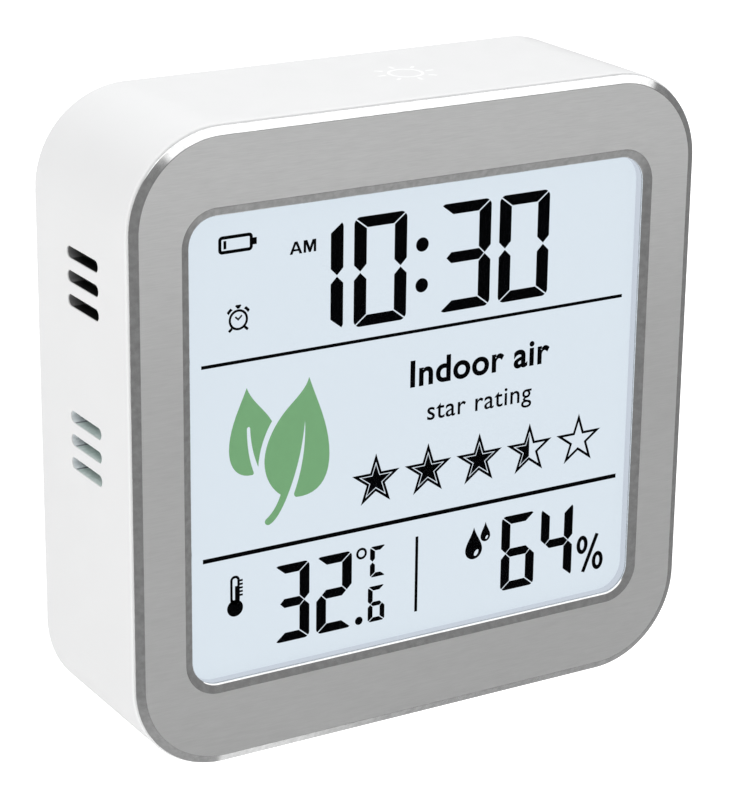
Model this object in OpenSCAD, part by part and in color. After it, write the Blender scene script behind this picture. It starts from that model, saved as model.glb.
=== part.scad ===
// Desk air quality monitor: white rounded-square case with a brushed metal bezel, a segment display,
// vents in both sides, touch light key on top, four rear keys and a hinged door over three AAA cells.
// X runs to the right seen from the front, the display faces -Y and Z points up.
// The origin is under the middle of the case, on the surface that the feet stand on.

/* [Case] */
// Width of the white case
body_w = 80.5; // [80:0.1:84]
// Height of the white case without its feet
body_h = 81.1; // [80.6:0.1:84]
// Depth from the bezel's face to the rear rim
body_d = 26; // [26:0.1:28]
// Radius of the four outer corners
corner_r = 12.2; // [10:0.1:13]
// Thickness of the side walls
wall = 1.8; // [1.6:0.1:2]
// Thickness of the front wall
front_wall = 2; // [1.8:0.1:2.2]
// Radius of the rim in front, beside the bezel
front_edge_r = 0.35; // [0.2:0.05:0.5]
// Radius of the rim at the back
rear_edge_r = 0.5; // [0.3:0.1:0.8]
// How far the rear cover is set in from the rear rim
cover_inset = 0.6; // [0.4:0.1:0.8]
// Thickness of the rear cover
cover_t = 1.6; // [1.4:0.1:1.8]

/* [Bezel] */
// How far the bezel's edge stays inside the case's outline
plate_inset = 0.25; // [0.2:0.05:0.4]
// Thickness of the bezel
plate_t = 0.6; // [0.6:0.05:0.8]
// Width of the polished chamfer round the bezel
edge_run = 1; // [0.6:0.1:1.2]
// Depth of the polished chamfer round the bezel
edge_drop = 0.46; // [0.3:0.02:0.5]
// Width of the polished bevel round the display opening
bevel_run = 1.1; // [0.6:0.1:1.3]
// Depth of the polished bevel round the display opening
bevel_drop = 0.37; // [0.2:0.01:0.5]
// Thickness of the adhesive film behind the bezel
tape_t = 0.15; // [0.1:0.05:0.2]

/* [Display] */
// Width of the display opening, inside its bevel
open_w = 64.6; // [62:0.1:65]
// Height of the display opening, inside its bevel
open_h = 59.3; // [57:0.1:60]
// Corner radius of the display opening, inside its bevel
open_r = 3.5; // [2.5:0.1:4]
// Thickness of the clear lens
lens_t = 0.7; // [0.6:0.05:0.8]
// How far the lens reaches under the bezel
lens_lap = 1.7; // [1.2:0.1:1.8]
// Width of the display glass
glass_w = 68; // [67.5:0.1:68]
// Height of the front display glass
glass_h = 64.4; // [64:0.1:64.4]
// Thickness of each display glass
glass_t = 0.7; // [0.55:0.05:0.7]
// Height of the contact ledge, where the rear glass is shorter
glass_ledge = 2.2; // [2.2:0.1:2.4]

/* [Vents] */
// Length of each vent slot, along the case's depth
vent_l = 8.5; // [6:0.5:10]
// Height of each vent slot
vent_h = 1.5; // [1:0.1:1.8]
// Distance between vent slots
vent_pitch = 3; // [2.6:0.1:3.4]
// How far the vent slots sit in front of the middle of the depth
vent_shift = 0.5; // [0:0.1:0.8]
// Height of the upper vent group above the case's middle
upper_vent_z = 20; // [17:1:22]
// Height of the lower vent group above the case's middle
lower_vent_z = -0.85; // [-3:0.05:2]

/* [Battery bay] */
// Diameter of a cell
cell_d = 10.5; // [10.2:0.1:10.5]
// Length of a cell with its positive end
cell_l = 44.5; // [44:0.1:44.5]
// Distance between the cells' axes
cell_pitch = 10.9; // [10.7:0.1:11]
// Room inside the bay along the cells
bay_w = 48.8; // [48.4:0.1:49.4]
// Thickness of the bay's walls
bay_wall = 1.5; // [1.2:0.1:1.5]
// Thickness of the door
door_t = 1.4; // [1.2:0.1:1.5]
// Radius of the door's hinge pins
door_pin_r = 0.75; // [0.6:0.05:0.8]

/* [Keys] */
// Distance between the rear keys
key_pitch = 16; // [14:0.5:17]
// Width of a key's cap
key_w = 9; // [7:0.5:10]
// Height of a key's cap
key_h = 5; // [4:0.5:6]
// How far a key stands out of the rear cover
key_proud = 0.5; // [0.3:0.1:0.5]

/* [Feet] */
// Height of the feet below the case
foot_h = 0.5; // [0.4:0.1:1]
// Radius of each foot
foot_r = 3; // [2:0.5:3.5]

/* [Hidden] */
$fn = 96;

// Small distances that many pieces share
gap = 0.2;          // air between pieces that are laid in
slack = 0.05;       // air between layers that are stacked
overlap = 0.1;      // how far joined shapes run into each other
film_t = 0.15;      // every film in the display
past = 1;           // how far a cutter runs past the face it cuts
pin_clearance = 0.05;

ledge_t = 0.35;          // rim of the front wall between the lens and the display glass
guide_t = 1.8;
board_spacing = 1.65;    // from the light guide to the main board
board_t = 1.2;
cell_to_door = 0.45;
cell_to_floor = 0.25;

// Places along Y, from the front to the back
front_y = -body_d / 2;
back_y = body_d / 2;
plate_back = front_y + plate_t;
shell_front = plate_back + tape_t;
wall_back = shell_front + front_wall;
lens_back = shell_front + lens_t;
ledge_back = lens_back + ledge_t;
glass_front = ledge_back + slack + film_t;
glass_mid = glass_front + glass_t;
glass_back = glass_mid + glass_t;
guide_front = glass_back + 2 * (film_t + slack);
guide_back = guide_front + guide_t;
board_front = guide_back + board_spacing;
board_back = board_front + board_t;
cover_out = back_y - cover_inset;
cover_in = cover_out - cover_t;
door_in = cover_out - door_t;
cell_r = cell_d / 2;
cell_y = door_in - cell_to_door - cell_r;
bay_floor = cell_y - cell_r - cell_to_floor;

// Outlines
mid_z = foot_h + body_h / 2;
plate_w = body_w - 2 * plate_inset;
plate_h = body_h - 2 * plate_inset;
plate_r = corner_r - plate_inset;
inner_w = body_w - 2 * wall;
inner_h = body_h - 2 * wall;
inner_r = corner_r - wall;
lens_w = open_w + 2 * lens_lap;
lens_h = open_h + 2 * lens_lap;
lens_r = open_r + lens_lap;
rear_glass_h = glass_h - glass_ledge;
rear_glass_z = glass_ledge / 2;
glass_r = 0.3;
glass_pocket_r = 0.6;
case_opening = 0.15;     // how far the case's opening stays behind the bezel's
tape_inset = 0.4;        // how far the adhesive film stays inside the bezel's edges
bevel_reach = 1.5;       // the bevel's cutter is this much longer than the bevel
front_film_w = glass_w - 1;
front_film_h = glass_h - 2;
rear_film_w = glass_w - 2;
rear_film_h = rear_glass_h - 1;
holder_side = 0.2;       // the holder is wider than the glass by this much on each side
holder_end = 0.5;        // and higher by this much at each end
holder_w = glass_w + 2 * holder_side;
holder_h = glass_h + 2 * holder_end;
holder_r = 0.8;
guide_w = 66;
guide_h = 60.6;
guide_z = 0.6;
guide_r = 0.5;
led_xs = [-20, 0, 20];
led_l = 3;
led_h = 0.8;
led_strip_l = 48;
led_strip_t = 0.15;
led_recess = 0.02;       // from the light guide's back to the flexible strip
led_row_z = guide_z + guide_h / 2 + led_h / 2 + overlap;
zebra_h = 1.8;
zebra_z = (zebra_h - glass_h) / 2 + overlap;
zebra_l = 60;

// Main board, on four posts beside the display
board_w = inner_w - 0.9;
board_h = 64.8;
board_r = 4;
board_hole_r = 1.1;
post_r = 1.75;
post_x = inner_w / 2 - post_r - 0.3;
post_z = 28;
board_pilot_r = 0.75;
board_screw_r = 0.7;
board_screw_l = 5;
board_head_r = 1.6;
board_head_t = 1;

// Parts on the main board
chip_x = 8;
chip_z = -12;
chip_r = 6;
chip_top_r = 4;
chip_t = 1.4;
crystal_z = -20;
crystal_r = 1;
crystal_lead_y = 0.7;
crystal_xs = [-15, -9];
crystal_lead_r = 0.15;
crystal_lead_x = -16.5;
crystal_lead_dz = 0.35;
part_xs = [-18 : 5 : 2];
part_zs = [-26, 2];
part_l = 2;
part_h = 1.2;
part_t = 0.7;

// Rear cover, on four bosses above and below the display
cover_gap = 0.15;
cover_w = inner_w - 2 * cover_gap;
cover_h = inner_h - 2 * cover_gap;
cover_r = inner_r - cover_gap;
boss_x = 25;
boss_z = inner_h / 2 - 3.35;
boss_r = 2.3;
pilot_start = -2;
well_r = 2.9;
well_bore_r = 2.05;
well_floor = 7.4;
well_floor_t = 1.2;
cover_pilot_r = 1;
cover_screw_r = 0.95;
cover_screw_l = 9;
screw_head_r = 1.85;
screw_head_t = 1.3;
recess_reach = 1.2;      // length of a screw's cross recess, in head radii
recess_w = 0.4;

// Battery bay: three cells side by side, the lowest and highest with their positive end to +X
cells = 3;
bay_play = 0.35;
bay_h = cells * cell_pitch + 2 * bay_play;
bay_floor_t = 1.2;
bay_z0 = -30;
bay_z1 = bay_z0 + bay_h;
door_w = bay_w - 2 * gap;
hinge_y = cover_out - 1.7;
hinge_z = bay_z0 + 1.9;
hinge_edge_r = cover_out - hinge_y;
ear_r = 1.1;
ear_l = 1.6;
contact_t = 0.3;
contact_reach = 4.4;     // from a cell's axis to the contact plate's end
contact_y = hinge_y - hinge_edge_r - gap;  // the door's lower edge swings past here
nub_l = 0.9;
nub_r = 1.9;
cell_end = bay_w / 2 - contact_t - slack;
spring_wire_r = 0.3;
spring_turns = 3.5;
spring_wide_r = 3.6;
spring_narrow_r = 2.2;

// Battery door: two hinge ears, four ribs inside, and a springy tongue under two catches
pin_l = 1.4;
rib_xs = [-20, -8, 8, 20];
rib_t = 0.8;
rib_d = 0.4;
rib_foot = 3;
rib_top = 10;
tongue_w = 12;
tongue_l = 7;
tongue_slit = 0.8;
grip_pitch = 1.1;
grip_top = 1.5;
grip_r = 0.3;
grip_inset = 2;
catch_x = 16;
catch_w = 3;
catch_t = 1.45;
finger_r = 5;
finger_d = 0.7;

// Leads
lead_r = 0.6;
lead_y = 4;
lead_bend = 3;
lead_out = 3;
lead_bulge = 5;
lead_drop = 2;
buzzer_lead_r = 0.35;
buzzer_lead_y0 = 3;      // where the leads bend down towards the board
buzzer_lead_y1 = 1;
buzzer_lead_x = 2;

// Keys, each on a stem down to a switch on the main board
key_names = ["mode", "alarm", "up", "down"];
key_z = 16;
key_travel = 0.5;
stem_r = 1.5;
flange = 1;              // rim behind the rear cover that keeps a key in
flange_t = 0.8;
flange_gap = 0.3;
switch_w = 6;
switch_r = 0.4;
switch_t = 3.5;
switch_floor = 0.8;
plunger_r = 1.7;
switch_back = board_back + switch_t;
plunger_out = 1.2;
plunger_back = switch_back + plunger_out;

// Sensors, on a small board in two grooved rails behind the lower left vents
sensor_x = -inner_w / 2 + 1.25;
sensor_t = 1;
sensor_h = 17;
sensor_z = lower_vent_z - 0.15;
sensor_y0 = board_back + 0.4;
sensor_y1 = 7;
rail_w = 3.25;
rail_t = 1.6;
rail_end = 1;
sensor_parts_y = -2;
gas_z = 2.4;
gas_w = 3;
gas_t = 1;
gas_port_r = 0.5;
humidity_z = -3.2;
humidity_w = 2.5;
humidity_t = 0.9;
humidity_port_r = 0.6;
port_d = 0.5;
header_l = 10;
header_w = 2.2;
header_d = 2.5;
header_pin_l = 3;
header_pin_w = 0.6;
header_pin_t = 0.5;
header_pitch = 2.54;

// Touch key under the top wall, a little to the right of the middle
touch_x = 4.5;
electrode_r = 6;
electrode_t = 0.2;
electrode_tail_w = 3;
electrode_lap = 2;

// Buzzer, glued inside the rear cover behind its sound holes
buzzer_z = 28;
buzzer_t = 3;
buzzer_r = 6;
buzzer_port_r = 1;
buzzer_port_d = 1;
cup_wall = 1.2;
cup_d = 1.5;
sound_ring_r = 2.6;
sound_hole_r = 0.6;

// Feet
foot_sink = 0.3;
foot_x = 24;
foot_y = 7.5;

function cell_z(i) = bay_z0 + bay_play + cell_r + i * cell_pitch;
function cell_side(i) = i % 2 == 0 ? 1 : -1;
function key_x(i) = (i - (len(key_names) - 1) / 2) * key_pitch;

// ---- shared shapes ----

module at_middle() {
  translate([0, 0, mid_z]) children();
}

module rounded_rect(w, h, r) {
  square([w - 2 * r, h], center = true);
  square([w, h - 2 * r], center = true);
  for (sx = [-1, 1], sz = [-1, 1])
    translate([sx * (w / 2 - r), sz * (h / 2 - r)]) circle(r);
}

// A plate across Y with the outline of a rounded rectangle
module slab(w, h, r, y0, y1) {
  translate([0, y1, 0]) rotate([90, 0, 0]) linear_extrude(y1 - y0) rounded_rect(w, h, r);
}

// A box given by its two corners
module block(low, high) {
  translate(low) cube(high - low);
}

// A round bar along Y
module rod(x, z, r, y0, y1) {
  translate([x, y1, z]) rotate([90, 0, 0]) cylinder(h = y1 - y0, r = r);
}

// A round bar along X
module axle(y, z, r, x0, x1) {
  translate([x0, y, z]) rotate([0, 90, 0]) cylinder(h = x1 - x0, r = r);
}

module trapezoid(base, run, drop) {
  polygon([[-base / 2, 0], [base / 2, 0], [base / 2 - run, drop], [-base / 2 + run, drop]]);
}

// A rounded rectangle at y that narrows by run over drop towards the front
module frustum(w, h, r, run, drop, y) {
  translate([0, y, 0]) rotate([90, 0, 0]) {
    for (sx = [-1, 1], sz = [-1, 1])
      translate([sx * (w / 2 - r), sz * (h / 2 - r), 0]) cylinder(h = drop, r1 = r, r2 = r - run);
    rotate([90, 0, 90]) linear_extrude(w - 2 * r, center = true) trapezoid(h, run, drop);
    rotate([90, 0, 0]) linear_extrude(h - 2 * r, center = true) trapezoid(w, run, drop);
  }
}

// The outermost edge of a rounded rectangle, broken in two steps that follow a round of radius edge_r;
// it starts at y and narrows towards the front
module soft_rim(w, h, r, edge_r, y) {
  inset = edge_r * (1 - cos(45));
  frustum(w, h, r, inset, edge_r - inset, y);
  frustum(w - 2 * inset, h - 2 * inset, r - inset, edge_r - inset, inset, y - edge_r + inset);
}

// A round-ended slot that runs along X through both sides
module side_slot(z) {
  straight = vent_l - vent_h;
  block(
    [-body_w, -vent_shift - straight / 2, z - vent_h / 2],
    [body_w, -vent_shift + straight / 2, z + vent_h / 2]
  );
  for (side = [-1, 1])
    axle(side * straight / 2 - vent_shift, z, vent_h / 2, -body_w, body_w);
}

module at_bosses() {
  for (sx = [-1, 1], sz = [-1, 1]) translate([sx * boss_x, 0, sz * boss_z]) children();
}

module at_posts() {
  for (sx = [-1, 1], sz = [-1, 1]) translate([sx * post_x, 0, sz * post_z]) children();
}

// A pan-head screw along Y whose head rests at seat_y, with its slot at the back
module pan_screw(head_r, head_t, shank_r, shank_l, seat_y) {
  difference() {
    union() {
      rod(0, 0, shank_r, seat_y - shank_l, seat_y);
      rod(0, 0, head_r, seat_y, seat_y + head_t);
    }
    for (turn = [0, 90])
      translate([0, seat_y + head_t, 0]) rotate([0, turn, 0])
        cube([head_r * recess_reach, head_t, recess_w], center = true);
  }
}

// A soft wire from a to d that leaves a towards b and reaches d from c; side is never along it
module wire(a, b, c, d, r, side) {
  steps = 14;
  sides = 8;
  function point(t) =
    pow(1 - t, 3) * a + 3 * t * pow(1 - t, 2) * b + 3 * t * t * (1 - t) * c + pow(t, 3) * d;
  function heading(t) =
    let (v = pow(1 - t, 2) * (b - a) + 2 * t * (1 - t) * (c - b) + t * t * (d - c)) v / norm(v);
  points = [
    for (i = [0 : steps], k = [0 : sides - 1])
      let (
        t = i / steps,
        across = cross(heading(t), side) / norm(cross(heading(t), side)),
        up = cross(across, heading(t))
      )
      point(t) + r * (cos(360 * k / sides) * across + sin(360 * k / sides) * up)
  ];
  walls = [
    for (i = [0 : steps - 1], k = [0 : sides - 1])
      let (n = (k + 1) % sides)
      [i * sides + k, (i + 1) * sides + k, (i + 1) * sides + n, i * sides + n]
  ];
  caps = [
    [for (k = [0 : sides - 1]) k],
    [for (k = [sides - 1 : -1 : 0]) steps * sides + k]
  ];
  polyhedron(points, concat(walls, caps), convexity = 4);
}

// ---- case ----

module shell_outside() {
  core_inset = max(front_edge_r, rear_edge_r);
  slab(body_w - 2 * core_inset, body_h - 2 * core_inset, corner_r - core_inset, shell_front, back_y);
  slab(body_w, body_h, corner_r, shell_front + front_edge_r, back_y - rear_edge_r);
  soft_rim(body_w, body_h, corner_r, front_edge_r, shell_front + front_edge_r);
  mirror([0, 1, 0]) soft_rim(body_w, body_h, corner_r, rear_edge_r, -back_y + rear_edge_r);
}

module sensor_rails() {
  for (side = [-1, 1])
    difference() {
      rail_z = sensor_z + side * sensor_h / 2;
      block(
        [-inner_w / 2 - past, wall_back - past, rail_z - rail_t / 2],
        [-inner_w / 2 + rail_w, sensor_y1 + rail_end, rail_z + rail_t / 2]
      );
      block(
        [sensor_x - gap / 2, sensor_y0 - gap / 2, sensor_z - (sensor_h + gap) / 2],
        [sensor_x + sensor_t + gap / 2, back_y, sensor_z + (sensor_h + gap) / 2]
      );
    }
}

module main_housing() {
  color("white") at_middle() difference() {
    union() {
      difference() {
        shell_outside();
        slab(inner_w, inner_h, inner_r, wall_back, back_y + past);
      }
      at_bosses() rod(0, 0, boss_r, wall_back - past, well_floor - gap / 2);
      at_posts() rod(0, 0, post_r, wall_back - past, board_front);
      sensor_rails();
    }
    slab(lens_w + gap, lens_h + gap, lens_r + gap / 2, shell_front - past, lens_back);
    slab(open_w + 2 * case_opening, open_h + 2 * case_opening, open_r, front_y, back_y);
    slab(glass_w + gap, glass_h + gap, glass_pocket_r, ledge_back, wall_back + past);
    for (middle = [upper_vent_z, lower_vent_z], i = [-1 : 1])
      side_slot(middle + i * vent_pitch);
    at_bosses() rod(0, 0, cover_pilot_r, pilot_start, well_floor);
    at_posts() rod(0, 0, board_pilot_r, wall_back, board_front + past);
    translate([0, 0, -mid_z]) at_feet() cylinder(h = foot_h + foot_sink, r = foot_r + gap / 2);
  }
}

module bezel_plate() {
  color("#a9aaab") at_middle() difference() {
    union() {
      slab(plate_w, plate_h, plate_r, front_y + edge_drop, plate_back);
      frustum(plate_w, plate_h, plate_r, edge_run, edge_drop, front_y + edge_drop);
    }
    slab(open_w, open_h, open_r, front_y - past, plate_back + past);
    frustum(open_w, open_h, open_r, -bevel_run * bevel_reach, bevel_drop * bevel_reach, front_y + bevel_drop);
  }
}

module bezel_adhesive() {
  color("#3b3d40") at_middle() difference() {
    slab(
      plate_w - 2 * tape_inset, plate_h - 2 * tape_inset, plate_r - tape_inset,
      plate_back, shell_front
    );
    slab(
      open_w + 2 * tape_inset, open_h + 2 * tape_inset, open_r + tape_inset,
      plate_back - past, shell_front + past
    );
  }
}

module at_feet() {
  for (sx = [-1, 1], sy = [-1, 1]) translate([sx * foot_x, sy * foot_y, 0]) children();
}

module rubber_feet() {
  color("#d8d8d6") at_feet() cylinder(h = foot_h + foot_sink, r = foot_r);
}

// ---- display ----

module display_lens() {
  color("#e6f0f8", 0.3) at_middle() slab(lens_w, lens_h, lens_r, shell_front, lens_back);
}

module lcd_front_polariser() {
  color("#dde6ee") at_middle()
    slab(front_film_w, front_film_h, glass_r, glass_front - film_t, glass_front);
}

module lcd_front_glass() {
  color("#d5e2ea", 0.5) at_middle() slab(glass_w, glass_h, glass_r, glass_front, glass_mid);
}

module lcd_rear_glass() {
  color("#d5e2ea", 0.5) at_middle() translate([0, 0, rear_glass_z])
    slab(glass_w, rear_glass_h, glass_r, glass_mid, glass_back);
}

module lcd_rear_polariser() {
  color("#ccd6dd") at_middle() translate([0, 0, rear_glass_z])
    slab(rear_film_w, rear_film_h, glass_r, glass_back, glass_back + film_t);
}

module diffuser_film() {
  color("#f4f4f2") at_middle() translate([0, 0, guide_z])
    slab(guide_w, guide_h, guide_r, guide_front - film_t, guide_front);
}

module light_guide() {
  color("#eef3f5", 0.6) at_middle() translate([0, 0, guide_z])
    slab(guide_w, guide_h, guide_r, guide_front, guide_back);
}

module reflector_film() {
  color("#e8e9ea") at_middle() translate([0, 0, guide_z])
    slab(guide_w, guide_h, guide_r, guide_back, guide_back + film_t);
}

// A flexible strip with three side-firing lamps, along the light guide's upper edge
module backlight_leds() {
  color("#f6e9b0") at_middle() {
    strip_y = guide_back + led_recess;
    z0 = led_row_z - led_h / 2;
    z1 = led_row_z + led_h / 2;
    block([-led_strip_l / 2, strip_y, z0], [led_strip_l / 2, strip_y + led_strip_t, z1]);
    for (x = led_xs)
      block([x - led_l / 2, guide_front + gap, z0], [x + led_l / 2, strip_y, z1]);
  }
}

// White frame that carries the light guide, its films and the contact strip
module lcd_holder() {
  color("#f2f2f0") at_middle() difference() {
    slab(holder_w, holder_h, holder_r, glass_back + slack, board_front);
    block(
      [-guide_w / 2 - gap, glass_back - past, guide_z - guide_h / 2 - gap],
      [guide_w / 2 + gap, guide_back + film_t + slack, led_row_z + led_h / 2 + overlap]
    );
    block(
      [-zebra_l / 2 - gap, glass_back - past, zebra_z - (zebra_h + gap) / 2],
      [zebra_l / 2 + gap, board_front + past, zebra_z + (zebra_h + gap) / 2]
    );
  }
}

module zebra_strip() {
  color("#5c6f80") at_middle()
    block(
      [-zebra_l / 2, glass_mid, zebra_z - zebra_h / 2],
      [zebra_l / 2, board_front, zebra_z + zebra_h / 2]
    );
}

// ---- main board ----

module main_board() {
  color("#2f6b3f") at_middle() difference() {
    slab(board_w, board_h, board_r, board_front, board_back);
    at_posts() rod(0, 0, board_hole_r, board_front - past, board_back + past);
    for (side = [-1, 1])
      translate([0, 0, sensor_z + side * sensor_h / 2])
        block(
          [-board_w, board_front - past, -rail_t / 2 - gap],
          [-inner_w / 2 + rail_w + gap, board_back + past, rail_t / 2 + gap]
        );
  }
}

module board_screws() {
  color("silver") at_middle() at_posts()
    pan_screw(board_head_r, board_head_t, board_screw_r, board_screw_l, board_back);
}

module driver_chip() {
  color("#1b1b1d") at_middle() translate([chip_x, board_back, chip_z])
    rotate([-90, 0, 0]) cylinder(h = chip_t, r1 = chip_r, r2 = chip_top_r);
}

module clock_crystal() {
  color("silver") at_middle() {
    axle(board_back + crystal_r, crystal_z, crystal_r, crystal_xs[0], crystal_xs[1]);
    for (side = [-1, 1])
      axle(
        board_back + crystal_lead_y, crystal_z + side * crystal_lead_dz, crystal_lead_r,
        crystal_lead_x, crystal_xs[0]
      );
  }
}

module board_parts() {
  color("#8a7a5c") at_middle()
    for (x = part_xs, z = part_zs)
      block(
        [x - part_l / 2, board_back, z - part_h / 2],
        [x + part_l / 2, board_back + part_t, z + part_h / 2]
      );
}

module tact_switches() {
  color("#2a2a2c") at_middle()
    for (i = [0 : len(key_names) - 1])
      translate([key_x(i), 0, key_z]) difference() {
        slab(switch_w, switch_w, switch_r, board_back, switch_back);
        rod(0, 0, plunger_r + gap / 2, board_back + switch_floor, switch_back + past);
      }
}

// ---- sensors, buzzer and touch key ----

module sensor_board() {
  color("#b9c8c0") at_middle()
    block(
      [sensor_x, sensor_y0, sensor_z - sensor_h / 2],
      [sensor_x + sensor_t, sensor_y1, sensor_z + sensor_h / 2]
    );
}

module gas_sensor() {
  color("#c9cfd2") at_middle() translate([sensor_x, sensor_parts_y, sensor_z + gas_z]) difference() {
    block([-gas_t, -gas_w / 2, -gas_w / 2], [0, gas_w / 2, gas_w / 2]);
    axle(0, 0, gas_port_r, -gas_t - past, port_d - gas_t);
  }
}

module humidity_sensor() {
  color("#e9e7df") at_middle() translate([sensor_x, sensor_parts_y, sensor_z + humidity_z]) difference() {
    block([-humidity_t, -humidity_w / 2, -humidity_w / 2], [0, humidity_w / 2, humidity_w / 2]);
    axle(0, 0, humidity_port_r, -humidity_t - past, port_d - humidity_t);
  }
}

// A four-pin header that joins the sensor board to the main board
module sensor_header() {
  color("#d8b45a") at_middle() translate([sensor_x + sensor_t, 0, sensor_z]) {
    pin_y = board_back + header_d;
    block([0, board_back, -header_l / 2], [header_w, pin_y, header_l / 2]);
    for (i = [-1.5 : 1.5])
      translate([0, 0, i * header_pitch])
        block([0, pin_y, -header_pin_w / 2], [header_pin_t, pin_y + header_pin_l, header_pin_w / 2]);
  }
}

// A foil disc under the top wall, with a tail down to the main board
module touch_electrode() {
  color("#c58b4a") at_middle() {
    foil_top = inner_h / 2 - slack;
    translate([touch_x, 0, foil_top - electrode_t]) cylinder(h = electrode_t, r = electrode_r);
    block(
      [touch_x - electrode_tail_w / 2, board_back, board_h / 2 - electrode_lap],
      [touch_x + electrode_tail_w / 2, board_back + electrode_t, foil_top]
    );
  }
}

module buzzer() {
  color("#222222") at_middle() translate([0, 0, buzzer_z]) difference() {
    rod(0, 0, buzzer_r, cover_in - buzzer_t, cover_in);
    rod(0, 0, buzzer_port_r, cover_in - buzzer_port_d, cover_in + past);
  }
}

module buzzer_leads() {
  color("#303030") at_middle()
    for (x = [-buzzer_lead_x, buzzer_lead_x])
      wire(
        [x, cover_in - buzzer_t, buzzer_z - buzzer_r / 2],
        [x, buzzer_lead_y0, buzzer_z - buzzer_r / 2],
        [x, buzzer_lead_y1, buzzer_z - buzzer_r / 2 - lead_drop],
        [x, board_back, buzzer_z - buzzer_r / 2 - lead_drop],
        buzzer_lead_r, [1, 0, 0]
      );
}

// ---- rear cover ----

module cover_wells() {
  at_bosses() rod(0, 0, well_r, well_floor, cover_in + overlap);
}

module bay_outside() {
  block(
    [-bay_w / 2 - bay_wall, bay_floor - bay_floor_t, bay_z0 - bay_wall],
    [bay_w / 2 + bay_wall, cover_in + overlap, bay_z1 + bay_wall]
  );
}

// Round-ended outline of a key, grown by extra on every side
module key_slab(extra, y0, y1) {
  slab(key_w + 2 * extra, key_h + 2 * extra, key_h / 2 + extra - 0.01, y0, y1);
}

module rear_cover() {
  color("white") at_middle() difference() {
    union() {
      difference() {
        union() {
          slab(cover_w, cover_h, cover_r, cover_in, cover_out);
          bay_outside();
        }
        block([-bay_w / 2, bay_floor, bay_z0], [bay_w / 2, back_y + past, bay_z1]);
      }
      cover_wells();
      for (x = [-catch_x, catch_x])
        block(
          [x - catch_w / 2, door_in - slack - catch_t, bay_z1 - 1],
          [x + catch_w / 2, door_in - slack, bay_z1 + overlap]
        );
      difference() {
        rod(0, buzzer_z, buzzer_r + cup_wall, cover_in - cup_d, cover_in + overlap);
        rod(0, buzzer_z, buzzer_r + gap / 2, cover_in - buzzer_t, cover_in);
      }
    }
    at_bosses() rod(0, 0, well_bore_r, well_floor + well_floor_t, back_y);
    at_bosses() rod(0, 0, cover_screw_r + gap, well_floor - past, back_y);
    axle(hinge_y, hinge_z, door_pin_r + pin_clearance, -bay_w, bay_w);
    for (i = [0 : len(key_names) - 1])
      translate([key_x(i), 0, key_z]) key_slab(gap, cover_in - past, back_y);
    for (turn = [0 : 60 : 300])
      rod(
        sound_ring_r * cos(turn), buzzer_z + sound_ring_r * sin(turn), sound_hole_r,
        cover_in - past, back_y
      );
    rod(0, buzzer_z, sound_hole_r, cover_in - past, back_y);
    rod(0, bay_z1, finger_r, cover_out - finger_d, back_y);
  }
}

module cover_screws() {
  color("#b9bcc0") at_middle() at_bosses()
    pan_screw(screw_head_r, screw_head_t, cover_screw_r, cover_screw_l, well_floor + well_floor_t);
}

// ---- battery bay ----

module battery_cells() {
  color("#c8a43c") at_middle()
    for (i = [0 : cells - 1])
      translate([0, 0, cell_z(i)]) mirror([cell_side(i) < 0 ? 1 : 0, 0, 0]) {
        axle(cell_y, 0, cell_r, cell_end - cell_l, cell_end - nub_l);
        axle(cell_y, 0, nub_r, cell_end - nub_l, cell_end);
      }
}

// A conical coil along +X from its wide foot at x0 to its narrow end at x1
module conical_spring(x0, x1, wide_r, narrow_r) {
  steps = 42;
  sides = 6;
  points = [
    for (i = [0 : steps], k = [0 : sides - 1])
      let (
        t = i / steps,
        turn = 360 * spring_turns * t,
        ring_r = wide_r + (narrow_r - wide_r) * t + spring_wire_r * sin(360 * k / sides)
      )
      [
        x0 + (x1 - x0) * t + spring_wire_r * cos(360 * k / sides),
        ring_r * cos(turn),
        ring_r * sin(turn)
      ]
  ];
  sides_faces = [
    for (i = [0 : steps - 1], k = [0 : sides - 1])
      let (n = (k + 1) % sides)
      [i * sides + k, (i + 1) * sides + k, (i + 1) * sides + n, i * sides + n]
  ];
  caps = [
    [for (k = [0 : sides - 1]) k],
    [for (k = [sides - 1 : -1 : 0]) steps * sides + k]
  ];
  polyhedron(points, concat(sides_faces, caps), convexity = 6);
}

module contact_springs() {
  foot = -bay_w / 2 + contact_t + spring_wire_r + slack / 2;
  tip = cell_end - cell_l - spring_wire_r - slack / 2;
  color("silver") at_middle()
    for (i = [0 : cells - 1])
      translate([0, cell_y, cell_z(i)]) mirror([cell_side(i) < 0 ? 1 : 0, 0, 0])
        conical_spring(foot, tip, spring_wide_r, spring_narrow_r);
}

// Spring steel plates on the bay's end walls: each joins the cells from first to last
module contact_plate(side, first, last) {
  x_wall = side * bay_w / 2;
  x_face = side * (bay_w / 2 - contact_t);
  block(
    [min(x_wall, x_face), bay_floor + contact_t, cell_z(first) - contact_reach],
    [max(x_wall, x_face), contact_y, cell_z(last) + contact_reach]
  );
}

module contact_plates() {
  color("#c9ccd0") at_middle() {
    contact_plate(-1, 0, 0);
    contact_plate(-1, 1, 2);
    contact_plate(1, 0, 1);
    contact_plate(1, 2, 2);
  }
}

// A lead from a bay wall's outside to the main board
module battery_lead(side, z) {
  wall_x = side * (bay_w / 2 + bay_wall);
  wire(
    [wall_x, lead_y, z],
    [wall_x + side * lead_bulge, lead_y, z],
    [wall_x + side * lead_out, lead_y - lead_bend, z - lead_drop],
    [wall_x + side * lead_out, board_back, z - lead_drop],
    lead_r, [0, 0, 1]
  );
}

module positive_lead() {
  color("red") at_middle() battery_lead(1, cell_z(2) - 1);
}

module negative_lead() {
  color("#202020") at_middle() battery_lead(-1, cell_z(0));
}

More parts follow.
